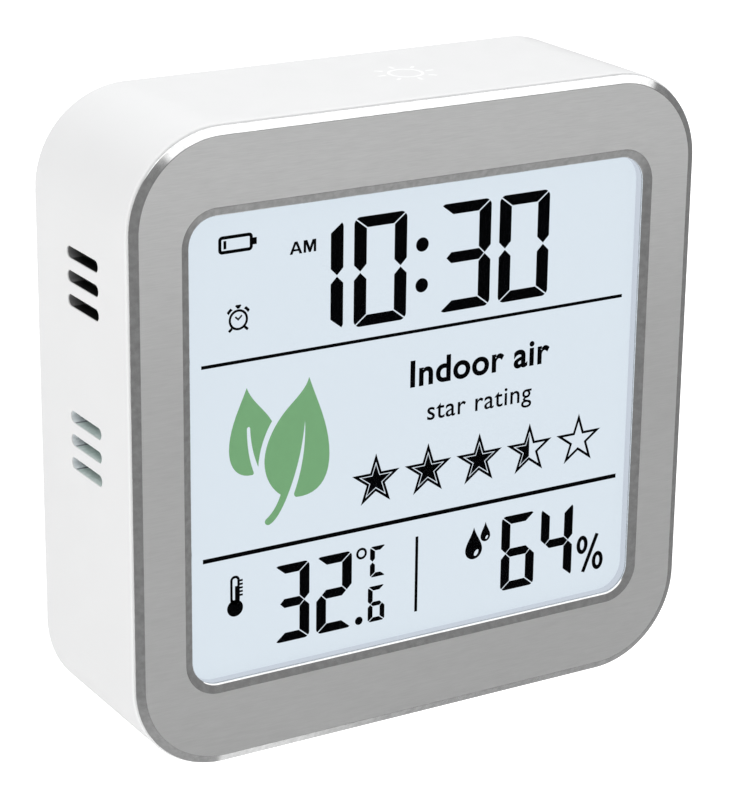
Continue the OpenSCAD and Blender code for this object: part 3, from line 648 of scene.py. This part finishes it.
def stroke(x0, z0, x1, z1, width):
    """Outline of a straight bar between two points."""
    length = math.hypot(x1 - x0, z1 - z0)
    nx, nz = (z0 - z1) / length * width / 2, (x1 - x0) / length * width / 2
    return [(x0 - nx, z0 - nz), (x1 - nx, z1 - nz), (x1 + nx, z1 + nz), (x0 + nx, z0 + nz)]


def curve(*anchors, steps=10):
    """Points along joined cubic curves: start, then two handles and an end for each curve."""
    points = [anchors[0]]
    for i in range(1, len(anchors), 3):
        a, b, c, d = (Vector(p) for p in anchors[i - 1:i + 3])
        for k in range(1, steps + 1):
            t = k / steps
            p = a * (1 - t) ** 3 + b * 3 * t * (1 - t) ** 2 + c * 3 * t * t * (1 - t) + d * t ** 3
            points.append((p.x, p.y))
    return points


class Relief:
    """Thin closed solids that lie on a surface. Outlines are in millimetres on that surface."""

    def __init__(self, place, top, bottom):
        self.bm = bmesh.new()
        self.place = place
        self.top = top
        self.bottom = bottom

    def loop(self, outline, level):
        return [self.bm.verts.new(self.place(x * MM, z * MM, level)) for x, z in outline]

    def solid(self, outline):
        near = self.loop(outline, self.top)
        far = self.loop(outline, self.bottom)
        self.bm.faces.new(near)
        self.bm.faces.new(list(reversed(far)))
        bridge(self.bm, near, far, smooth=False)

    def ring(self, outer, inner):
        loops = [
            self.loop(outer, self.top), self.loop(inner, self.top),
            self.loop(inner, self.bottom), self.loop(outer, self.bottom),
        ]
        for i in range(4):
            bridge(self.bm, loops[i], loops[(i + 1) % 4], smooth=False)

    def finish(self, name, body="case", slot="lcd_film", material=SEGMENT):
        """Left as they are, the settings make it a dark mark on the display."""
        add_piece(name, self.bm, body, slot, material)


# How far the marks' outer and inner faces stand off what they lie on
SEGMENT_TOP, SEGMENT_BASE = 0.022 * MM, 0.002 * MM
PRINT_TOP, PRINT_BASE = 0.012 * MM, 0.001 * MM


def on_display():
    """Marks on the display's film, about the middle of the bezel."""
    return Relief(
        lambda x, z, y: Vector((x, y, z + MIDDLE_Z)),
        FILM_FRONT - SEGMENT_TOP, FILM_FRONT - SEGMENT_BASE,
    )


# ---------------------------------------------------------------- bezel

EDGE_RUN, EDGE_DROP = 1.0 * MM, 0.46 * MM
BEVEL_RUN, BEVEL_DROP = 1.1 * MM, 0.37 * MM
LIP_RUN, LIP_DROP = 0.14 * MM, 0.12 * MM
LIP_LIFT = 0.05 * MM   # how far the lip starts in front of the bevel's end
SKIRT = 0.14 * MM      # how far the opening's inner edge reaches back, to the lens
SOFT_EDGE = 0.05 * MM  # radius of the soft edges between the bezel's surfaces
FLANK = 0.3 * MM       # width of the face's strips beside its edges
PLATE_CORNER = 11.95 * MM
OPENING_WIDTH, OPENING_HEIGHT, OPENING_CORNER = 64.6 * MM, 59.3 * MM, 3.5 * MM


def bezel_loop(bm, width, height, radius, y):
    """A rounded rectangle across Y about the bezel's middle, with points along its sides."""
    corner_steps, side_steps = 24, 6
    outline = rounded_box(-width / 2, -height / 2, width / 2, height / 2, radius, corner_steps)
    points = []
    for i, (x, z) in enumerate(outline):
        points.append((x, z))
        if i % (corner_steps + 1) == corner_steps:
            next_x, next_z = outline[(i + 1) % len(outline)]
            points += [
                (x + (next_x - x) * k / side_steps, z + (next_z - z) * k / side_steps)
                for k in range(1, side_steps)
            ]
    return [bm.verts.new((x, y, z + MIDDLE_Z)) for x, z in points]


def soften(path, radius, steps=4):
    """An open path whose inner corners are rounded by arcs of about that radius."""
    points = [path[0]]
    for before, corner, after in zip(path, path[1:], path[2:]):
        start = corner + (before - corner).normalized() * radius
        end = corner + (after - corner).normalized() * radius
        for i in range(steps + 1):
            t = i / steps
            points.append(start * (1 - t) ** 2 + corner * 2 * t * (1 - t) + end * t ** 2)
    points.append(path[-1])
    return points


def make_bezel():
    """Brushed face between a polished chamfer outside and a polished bevel round the opening."""
    front, back = PLATE_LOW.y, PLATE_HIGH.y
    width = PLATE_HIGH.x - PLATE_LOW.x
    height = PLATE_HIGH.z - PLATE_LOW.z
    outside = soften([
        Vector((0.0, back)),
        Vector((0.0, front + EDGE_DROP)),
        Vector((EDGE_RUN, front)),
        Vector((EDGE_RUN + FLANK, front)),
    ], SOFT_EDGE)
    inside = soften([
        Vector((BEVEL_RUN + FLANK, front)),
        Vector((BEVEL_RUN, front)),
        Vector((LIP_RUN, front + BEVEL_DROP - LIP_LIFT)),
        Vector((0.0, front + BEVEL_DROP + LIP_DROP - LIP_LIFT)),
        Vector((0.0, back + SKIRT)),
    ], SOFT_EDGE)
    inside += [Vector((FLANK, back + SKIRT)), Vector((FLANK, back))]
    bm = bmesh.new()
    rings = [
        bezel_loop(bm, width - 2 * inset, height - 2 * inset, PLATE_CORNER - inset, y)
        for inset, y in outside
    ]
    rings += [
        bezel_loop(
            bm, OPENING_WIDTH + 2 * outset, OPENING_HEIGHT + 2 * outset, OPENING_CORNER + outset, y)
        for outset, y in inside
    ]
    face_ring = len(outside) - 1
    for i, ring in enumerate(rings):
        polished = abs(i - face_ring) > 1
        bridge(bm, ring, rings[(i + 1) % len(rings)], int(polished))
    piece = add_piece("bezel", bm, "case", "bezel_metal", BRUSHED, POLISHED)
    weighted_normals(piece)
    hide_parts("bezel_plate")


def make_display_seal():
    """A thin rim between the lens and the display, which closes the opening's edge; its glow is
    painted light that stands for the lit wall of the opening.
    """
    half_x, half_z = OPENING_WIDTH / 2 / MM, OPENING_HEIGHT / 2 / MM
    corner = OPENING_CORNER / MM
    outer_x, outer_z = half_x + 0.1, half_z + 0.1
    inner_x, inner_z = half_x - 0.02, half_z - 0.02
    rim = Relief(
        lambda x, z, y: Vector((x, y, z + MIDDLE_Z)),
        LENS_FRONT + 0.01 * MM, FILM_FRONT - 0.03 * MM,
    )
    rim.ring(
        rounded_box(-outer_x, -outer_z, outer_x, outer_z, corner, 16),
        rounded_box(-inner_x, -inner_z, inner_x, inner_z, corner, 16),
    )
    rim.finish("display_seal", material=PAINTED_GLOW_RIM)


# ---------------------------------------------------------------- display digits

BARS = {
    "0": "abcdef", "1": "bc", "2": "abdeg", "3": "abcdg", "4": "bcfg", "6": "acdefg", "C": "adef",
}


def digit_bars(width, height, upright, level, gap):
    """Outlines of the seven bars of a digit, from its lower left corner.

    Their ends are mitred and the digit's outer corners are round.
    """
    corner = upright * 0.42
    middle = height / 2
    e = gap * 0.7
    upper_left = arc(corner, height - corner - e, corner, 135, 180, 5) + [
        (0, middle + gap / 2 + upright / 2), (upright / 2, middle + gap / 2),
        (upright, middle + gap / 2 + upright / 2), (upright, height - level - e),
    ]
    top = [(upright + e, height - level), (width - upright - e, height - level)]
    top += arc(width - corner - e, height - corner, corner, 45, 90, 5)
    top += arc(corner + e, height - corner, corner, 90, 135, 5)
    tip = upright / 2 + e
    centre = [
        (tip, middle), (tip + level / 2, middle - level / 2),
        (width - tip - level / 2, middle - level / 2), (width - tip, middle),
        (width - tip - level / 2, middle + level / 2), (tip + level / 2, middle + level / 2),
    ]

    def across(bar):
        return [(width - x, z) for x, z in reversed(bar)]

    def over(bar):
        return [(x, height - z) for x, z in reversed(bar)]

    return {
        "a": top, "d": over(top), "f": upper_left, "b": across(upper_left),
        "e": over(upper_left), "c": over(across(upper_left)), "g": centre,
    }


def draw_digit(marks, symbol, left, bottom, width, height, upright, level, gap=0.17):
    bars = digit_bars(width, height, upright, level, gap)
    for name in BARS[symbol]:
        marks.solid(moved(bars[name], left, bottom))


def make_clock():
    """The time, with a colon."""
    marks = on_display()
    for symbol, left in (("1", -18.2), ("0", -9.25), ("3", 2.95), ("0", 11.65)):
        draw_digit(marks, symbol, left, 12.68, 7.45, 13.85, 1.75, 1.4)
    for z in (21.88, 16.68):
        marks.solid(circle(0.42, z, 0.9))
    marks.finish("clock_digits")


def make_temperature():
    marks = on_display()
    draw_digit(marks, "3", -20.2, -26.87, 4.95, 10.35, 1.4, 1.2, 0.14)
    draw_digit(marks, "2", -14.25, -26.87, 5.1, 10.35, 1.4, 1.2, 0.14)
    draw_digit(marks, "C", -6.5, -20.77, 2.3, 4.15, 0.72, 0.58, 0.12)
    draw_digit(marks, "6", -6.75, -26.87, 2.45, 4.85, 0.7, 0.58, 0.12)
    marks.solid(circle(-8.05, -26.32, 0.55))
    marks.ring(circle(-7.75, -17.22, 0.78), circle(-7.75, -17.22, 0.46))
    marks.finish("temperature_digits")


def make_humidity():
    """The humidity and its percent sign."""
    marks = on_display()
    draw_digit(marks, "6", 13.25, -26.72, 5.15, 10.3, 1.35, 1.15, 0.14)
    draw_digit(marks, "4", 19.4, -26.72, 5.0, 10.3, 1.35, 1.15, 0.14)
    for x, z in ((26.05, -22.75), (28.6, -25.4)):
        outer = [(x + 0.88 * math.cos(a), z + 1.3 * math.sin(a)) for a in full_turn(40)]
        inner = [(x + 0.32 * math.cos(a), z + 0.72 * math.sin(a)) for a in full_turn(40)]
        marks.ring(outer, inner)
    marks.solid(stroke(26.3, -26.65, 28.4, -21.55, 0.55))
    marks.finish("humidity_digits")


def full_turn(steps):
    return [2 * math.pi * i / steps for i in range(steps)]


def make_rules():
    marks = on_display()
    marks.solid(box_outline(-30.1, 10.67, 30.8, 11.1))
    marks.solid(box_outline(-30.1, -14.17, 31.0, -13.6))
    marks.solid(box_outline(0.18, -26.82, 0.6, -16.52))
    marks.finish("rules")


# ---------------------------------------------------------------- display symbols

def make_battery_symbol():
    marks = on_display()
    marks.ring(
        rounded_box(-27.72, 24.45, -23.13, 26.65, 0.5),
        rounded_box(-27.31, 24.86, -23.54, 26.24, 0.12),
    )
    marks.solid(box_outline(-23.13, 25.13, -22.6, 25.98))
    marks.solid(box_outline(-27.03, 25.05, -26.66, 26.05))
    marks.finish("battery_symbol")


def make_alarm_symbol():
    """A small alarm clock: ring, bells, cap, feet and hands."""
    marks = on_display()
    x, z = -25.1, 16.13
    marks.ring(circle(x, z, 1.3), circle(x, z, 1.0))
    for side in (-1, 1):
        bell = arc(0, 0, 1.86, 124, 146, 5) + arc(0, 0, 1.5, 150, 120, 5)
        marks.solid([(x - side * px, z + pz) for px, pz in bell])
        marks.solid([(x + side * px, z + pz) for px, pz in stroke(0.86, -0.98, 1.28, -1.36, 0.34)])
    cap = [(-0.13, 1.38), (0.13, 1.38), (0.4, 1.72), (0.33, 1.86), (-0.33, 1.86), (-0.4, 1.72)]
    marks.solid(moved(cap, x, z))
    hands = [(-0.48, 0.32), (-0.02, -0.12), (0.56, 0.42), (0.42, 0.58), (-0.02, 0.18), (-0.34, 0.48)]
    marks.solid(moved(hands, x, z))
    marks.finish("alarm_symbol")


def make_leaves():
    """Two leaves on one stem, each slit along its vein."""
    marks = on_display()
    marks.solid(curve(
        (-24.0, 7.4), (-24.9, 5.2), (-26.45, 2.6), (-26.45, -0.2),
        (-26.45, -2.4), (-25.3, -3.95), (-23.3, -3.85),
        (-23.0, -3.8), (-23.05, -3.55), (-23.15, -3.35),
        (-23.7, -1.8), (-24.0, 0.0), (-24.0, 2.2),
        (-23.85, 2.5), (-23.65, 2.5), (-23.55, 2.2),
        (-23.5, 0.4), (-23.1, -1.4), (-22.45, -2.95),
        (-22.35, -1.0), (-21.6, 1.1), (-20.55, 2.6),
        (-21.5, 4.3), (-23.4, 5.6), (-24.0, 7.4),
    )[:-1])
    marks.solid(curve(
        (-15.4, 7.4), (-15.9, 5.6), (-17.9, 4.6), (-19.3, 2.9),
        (-20.9, 1.0), (-21.6, -1.0), (-21.6, -2.6),
        (-21.55, -4.6), (-20.6, -6.2), (-19.35, -7.15),
        (-19.8, -8.4), (-20.5, -9.4), (-21.4, -10.0),
        (-21.8, -10.4), (-21.3, -10.95), (-20.85, -10.75),
        (-19.5, -10.2), (-18.3, -7.4), (-17.6, -5.5),
        (-16.7, -3.0), (-16.2, -0.6), (-15.95, 2.0),
        (-15.8, -1.6), (-16.4, -4.6), (-17.45, -7.3),
        (-17.5, -7.6), (-17.35, -7.8), (-17.1, -7.85),
        (-14.2, -8.1), (-12.5, -6.4), (-12.5, -3.0),
        (-12.5, 0.8), (-14.3, 4.2), (-15.4, 7.4),
    )[:-1])
    marks.finish("leaf_symbol", material=GREEN)


STAR_RATIO = 0.382
STAR_EDGE = 0.309      # distance from the middle to an edge, over the outer radius


def star(x, z, radius):
    points = []
    for i in range(5):
        for turn, size in ((0, radius), (36, radius * STAR_RATIO)):
            angle = math.radians(90 + 72 * i + turn)
            points.append((x + size * math.cos(angle), z + size * math.sin(angle)))
    return points


def make_stars():
    """Three full stars, one half full and one empty."""
    marks = on_display()
    outer_radius = 3.62
    inner_radius = outer_radius - 0.33 / STAR_EDGE
    core_radius = inner_radius - 0.11 / STAR_EDGE
    z = -7.83
    for i in range(5):
        x = -5.8 + 7.64 * i
        marks.ring(star(x, z, outer_radius), star(x, z, inner_radius))
        core = star(x, z, core_radius)
        if i < 3:
            marks.solid(core)
        elif i == 3:
            marks.solid(core[:6])
    marks.finish("star_row")


def make_thermometer():
    marks = on_display()
    x, bulb_z, top_z = -25.72, -20.85, -16.55
    marks.solid(circle(x, bulb_z, 1.1))
    marks.ring(
        rounded_box(x - 0.66, bulb_z + 0.5, x + 0.66, top_z, 0.62),
        rounded_box(x - 0.33, bulb_z + 1.0, x + 0.33, top_z - 0.34, 0.3),
    )
    marks.solid(box_outline(x, bulb_z + 0.95, x + 0.34, top_z - 1.4))
    for i in range(5):
        z = top_z - 0.75 - 0.48 * i
        marks.solid(box_outline(x + 0.66, z - 0.13, x + 1.08, z + 0.13))
    marks.finish("thermometer_symbol")


def drop(marks, x, z, radius, tip_height, glint_x, glint_z):
    """A drop about the middle of its round part, with an oval glint cut out."""
    side = curve(
        (radius, 0), (radius, radius * 0.75), (radius * 0.25, tip_height * 0.6), (0, tip_height),
        steps=12,
    )
    outline = side + [(-px, pz) for px, pz in reversed(side[:-1])]
    outline += arc(0, 0, radius, 180, 360, 23)[1:-1]
    lean = math.radians(35)
    glint = []
    for px, pz in outline:
        angle = math.atan2(pz, px)
        u, v = radius * 0.22 * math.cos(angle - lean), radius * 0.38 * math.sin(angle - lean)
        glint.append((
            glint_x + u * math.cos(-lean) - v * math.sin(-lean),
            glint_z + u * math.sin(-lean) + v * math.cos(-lean),
        ))
    marks.ring(moved(outline, x, z), moved(glint, x, z))


def make_drops():
    marks = on_display()
    drop(marks, 9.0, -20.06, 1.28, 3.1, 0.42, -0.45)
    drop(marks, 10.75, -18.45, 0.74, 1.95, 0.22, -0.2)
    marks.finish("drop_symbols")


CAPITAL_PER_SIZE = 0.729    # height of a capital in the built-in typeface, over its size
LETTER_MIDDLE = 0.012 * MM  # how far the letters' middle plane stands off the film


def make_word(name, text, middle, base, capital_height, weight):
    """Plain lettering on the display, about a middle and to a capital height."""
    text_curve = bpy.data.curves.new(name, "FONT")
    text_curve.body = text
    text_curve.size = 1
    text_curve.offset = weight
    text_curve.extrude = 0.01
    text_curve.space_character = 1.06
    letters = bpy.data.objects.new(name, text_curve)
    bpy.context.scene.collection.objects.link(letters)
    bpy.context.view_layer.update()
    depsgraph = bpy.context.evaluated_depsgraph_get()
    mesh = bpy.data.meshes.new_from_object(letters.evaluated_get(depsgraph))
    bpy.data.objects.remove(letters)
    bpy.data.curves.remove(text_curve)
    bm = bmesh.new()
    bm.from_mesh(mesh)
    bpy.data.meshes.remove(mesh)
    bmesh.ops.remove_doubles(bm, verts=bm.verts, dist=1e-5)
    centre = (min(v.co.x for v in bm.verts) + max(v.co.x for v in bm.verts)) / 2
    scale = capital_height * MM / CAPITAL_PER_SIZE
    surface = FILM_FRONT - LETTER_MIDDLE
    for vert in bm.verts:
        x, z, depth = vert.co
        vert.co = (
            middle * MM + (x - centre) * scale, surface - depth * MM,
            MIDDLE_Z + base * MM + z * scale,
        )
    add_piece(name, bm, "case", "lcd_film", SEGMENT)


def make_words():
    make_word("caption_word", "Indoor air", 9.4, 3.7, 3.5, 0.024)
    make_word("level_word", "star rating", 9.4, -1.1, 2.6, 0.006)


def make_half_day_mark():
    """The letters AM beside the clock."""
    marks = on_display()
    height, leg = 1.55, 0.38
    half = 0.86
    a_left, base = -18.15, 23.13
    half_a = [
        (0, 0), (leg, 0), (leg + 0.13, 0.36), (half, 0.36), (half, 0.62), (leg + 0.22, 0.62),
        (half, 1.2), (half, height), (half - 0.2, height),
    ]
    marks.solid(moved(half_a, a_left, base))
    marks.solid([(a_left + 2 * half - x, base + z) for x, z in reversed(half_a)])
    m_left, width = -16.25, 1.72
    half_m = [
        (0, 0), (leg - 0.04, 0), (leg - 0.04, 1.0), (width / 2 - 0.14, 0), (width / 2, 0),
        (width / 2, 0.62), (leg + 0.12, height), (0, height),
    ]
    marks.solid(moved(half_m, m_left, base))
    marks.solid([(m_left + width - x, base + z) for x, z in reversed(half_m)])
    marks.finish("half_day_mark")


# ---------------------------------------------------------------- touch key

TOUCH_X = 4.5


def make_touch_mark():
    """A white print on top of the case: a ring with eight rays."""
    marks = Relief(
        lambda x, y, z: Vector((x, y, z)),
        CASE_HIGH.z + PRINT_TOP, CASE_HIGH.z + PRINT_BASE,
    )
    marks.ring(circle(TOUCH_X, 0, 2.3), circle(TOUCH_X, 0, 1.95))
    for i in range(8):
        angle = math.radians(45 * i)
        x, y = math.cos(angle), math.sin(angle)
        marks.solid(stroke(TOUCH_X + 2.9 * x, 2.9 * y, TOUCH_X + 4.0 * x, 4.0 * y, 0.4))
    marks.finish("touch_mark", "case", "case_white", PRINT_WHITE)


# ---------------------------------------------------------------- batteries

CELL_LENGTH = 44.5 * MM
NUB_LENGTH, NUB_RADIUS = 0.9 * MM, 1.9 * MM
SPRING_WIRE, SPRING_WIDE, SPRING_NARROW, SPRING_TURNS = 0.3 * MM, 3.6 * MM, 2.2 * MM, 3.5
POLARITY_X = 19        # how far the polarity marks are from the bay's middle, in millimetres


def cell_axes():
    """Radius, depth and heights of the cells, and on which side each has its positive end."""
    radius = (CELLS_HIGH.y - CELLS_LOW.y) / 2
    pitch = (CELLS_HIGH.z - CELLS_LOW.z - 2 * radius) / 2
    depth = (CELLS_HIGH.y + CELLS_LOW.y) / 2
    return radius, depth, [(CELLS_LOW.z + radius + i * pitch, (1, -1, 1)[i]) for i in range(3)]


def turned(bm, profile, side, y, z, steps=64):
    """A solid of revolution about X. Each profile point is x, radius and the material after it."""
    loops = [
        [bm.verts.new((side * x, y + r * math.cos(a), z + r * math.sin(a))) for a in full_turn(steps)]
        for x, r, _ in profile
    ]
    for i in range(len(loops) - 1):
        bridge(bm, loops[i], loops[i + 1], profile[i][2])
    for ring, material_index in ((loops[0], profile[0][2]), (loops[-1], profile[-1][2])):
        cap = bm.faces.new(ring)
        cap.material_index = material_index


def make_cells():
    """Cells with a two-colour sleeve rolled over their ends, a crimped cap and a positive nub."""
    radius, y, axes = cell_axes()
    end = CELLS_HIGH.x
    start = end - CELL_LENGTH
    shoulder = end - NUB_LENGTH
    steel, sleeve, band, ring = range(4)
    roll = 0.5 * MM
    profile = [
        (start, 3.4 * MM, steel), (start + 0.12 * MM, 3.6 * MM, steel),
        (start + 0.12 * MM, radius - 0.8 * MM, sleeve), (start + 0.02 * MM, radius - 0.7 * MM, sleeve),
        (start + 0.05 * MM, radius - 0.25 * MM, sleeve), (start + roll, radius, sleeve),
        (shoulder - 12 * MM, radius, band), (shoulder - 11.6 * MM, radius, band),
        (shoulder - roll, radius, band), (shoulder - 0.05 * MM, radius - 0.25 * MM, band),
        (shoulder, radius - 0.7 * MM, band), (shoulder - 0.15 * MM, radius - 0.9 * MM, ring),
        (shoulder - 0.15 * MM, 3.0 * MM, steel), (shoulder, 2.8 * MM, steel),
        (shoulder, NUB_RADIUS + 0.15 * MM, steel), (shoulder + 0.15 * MM, NUB_RADIUS, steel),
        (end - 0.2 * MM, NUB_RADIUS, steel), (end - 0.05 * MM, NUB_RADIUS - 0.08 * MM, steel),
        (end, NUB_RADIUS - 0.25 * MM, steel),
    ]
    bm = bmesh.new()
    for z, side in axes:
        turned(bm, profile, side, y, z)
    piece = add_piece("cells", bm, "case", "cell_sleeve", STEEL, SLEEVE, SLEEVE_BAND, WHITE_FILM)
    weighted_normals(piece)
    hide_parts("battery_cells")


def make_springs():
    """Smooth conical coils between the negative ends and the end walls."""
    _, y, axes = cell_axes()
    tip = CELLS_HIGH.x - CELL_LENGTH - SPRING_WIRE - 0.025 * MM
    foot = -(CELLS_HIGH.x + 0.05 * MM) + SPRING_WIRE + 0.025 * MM
    steps, sides = 150, 12
    bm = bmesh.new()
    for z, side in axes:
        rings = []
        for i in range(steps + 1):
            t = i / steps
            turn = 2 * math.pi * SPRING_TURNS * t
            coil = SPRING_WIDE + (SPRING_NARROW - SPRING_WIDE) * t
            ring = []
            for a in full_turn(sides):
                r = coil + SPRING_WIRE * math.sin(a)
                x = foot + (tip - foot) * t + SPRING_WIRE * math.cos(a)
                ring.append(bm.verts.new((side * x, y + r * math.cos(turn), z + r * math.sin(turn))))
            rings.append(ring)
        for first, second in zip(rings, rings[1:]):
            bridge(bm, first, second)
        bm.faces.new(rings[0])
        bm.faces.new(rings[-1])
    piece = add_piece("springs", bm, "case", "spring_steel", STEEL)
    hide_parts("contact_springs")


def make_polarity_marks():
    """Raised plus and minus marks on the floor of the battery bay, at the ends of each cell."""
    _, y, axes = cell_axes()
    floor = CELLS_LOW.y - 0.25 * MM
    marks = Relief(lambda x, z, level: Vector((x, level, z)), floor + 0.1 * MM, floor - 0.05 * MM)
    for z, side in axes:
        height, plus_x, minus_x = z / MM, side * POLARITY_X, -side * POLARITY_X
        marks.solid(stroke(plus_x - 1.2, height, plus_x + 1.2, height, 0.5))
        marks.solid(box_outline(plus_x - 0.25, height + 0.25, plus_x + 0.25, height + 1.2))
        marks.solid(box_outline(plus_x - 0.25, height - 1.2, plus_x + 0.25, height - 0.25))
        marks.solid(stroke(minus_x - 1.2, height, minus_x + 1.2, height, 0.5))
    marks.finish("polarity_marks", "case", "case_white", WHITE)


# ---------------------------------------------------------------- back of the case

def on_back(surface):
    """Marks on a surface that faces +Y."""
    return Relief(
        lambda x, z, y: Vector((x, y, z)),
        surface + PRINT_TOP, surface + PRINT_BASE,
    )


def make_key_symbol(name, node, body, outlines):
    """A print in the middle of a rear key, that moves with it."""
    low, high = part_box(node)
    x, z = (low.x + high.x) / 2 / MM, (low.z + high.z) / 2 / MM
    marks = on_back(high.y)
    for outline in outlines:
        marks.solid(moved(outline, x, z))
    marks.finish(name, body, "key_grey", PRINT_GREY)


def make_key_symbols():
    up = [(-1.1, -0.6), (1.1, -0.6), (0, 1.0)]
    down = [(-1.1, 0.6), (0, -1.0), (1.1, 0.6)]
    bars = [box_outline(-1.2, z - 0.16, 1.2, z + 0.16) for z in (-0.8, 0, 0.8)]
    bell = [
        arc(0, 0.1, 0.85, 0, 180, 16) + [(-1.15, -0.7), (1.15, -0.7)],
        arc(0, -0.9, 0.32, 180, 360, 8),
    ]
    make_key_symbol("mode_symbol", "mode_button", "mode_key", bars)
    make_key_symbol("bell_symbol", "alarm_button", "alarm_key", bell)
    make_key_symbol("up_symbol", "up_button", "up_key", [up])
    make_key_symbol("down_symbol", "down_button", "down_key", [down])


def make_door_arrow():
    """A printed arrow under the door's tongue that shows which way it is pulled."""
    marks = on_back(DOOR_HIGH.y)
    z = DOOR_HIGH.z / MM - 10.5
    marks.solid([(-1.6, z + 0.9), (0, z - 1.1), (1.6, z + 0.9)])
    marks.finish("door_arrow", "door", "case_white", PRINT_GREY)


# ---------------------------------------------------------------- all together

finish_nodes()
make_bezel()
make_display_seal()
make_clock()
make_temperature()
make_humidity()
make_rules()
make_battery_symbol()
make_alarm_symbol()
make_leaves()
make_stars()
make_thermometer()
make_drops()
make_words()
make_half_day_mark()
make_touch_mark()
make_cells()
make_springs()
make_polarity_marks()
make_key_symbols()
make_door_arrow()
make_world()
make_floor()
make_area_light("top_left_light", Vector((-0.5, -0.25, 0.7)), (0, 0, 0.04), 0.5, 1.0)
make_camera()
bpy.context.scene.view_settings.view_transform = "Standard"
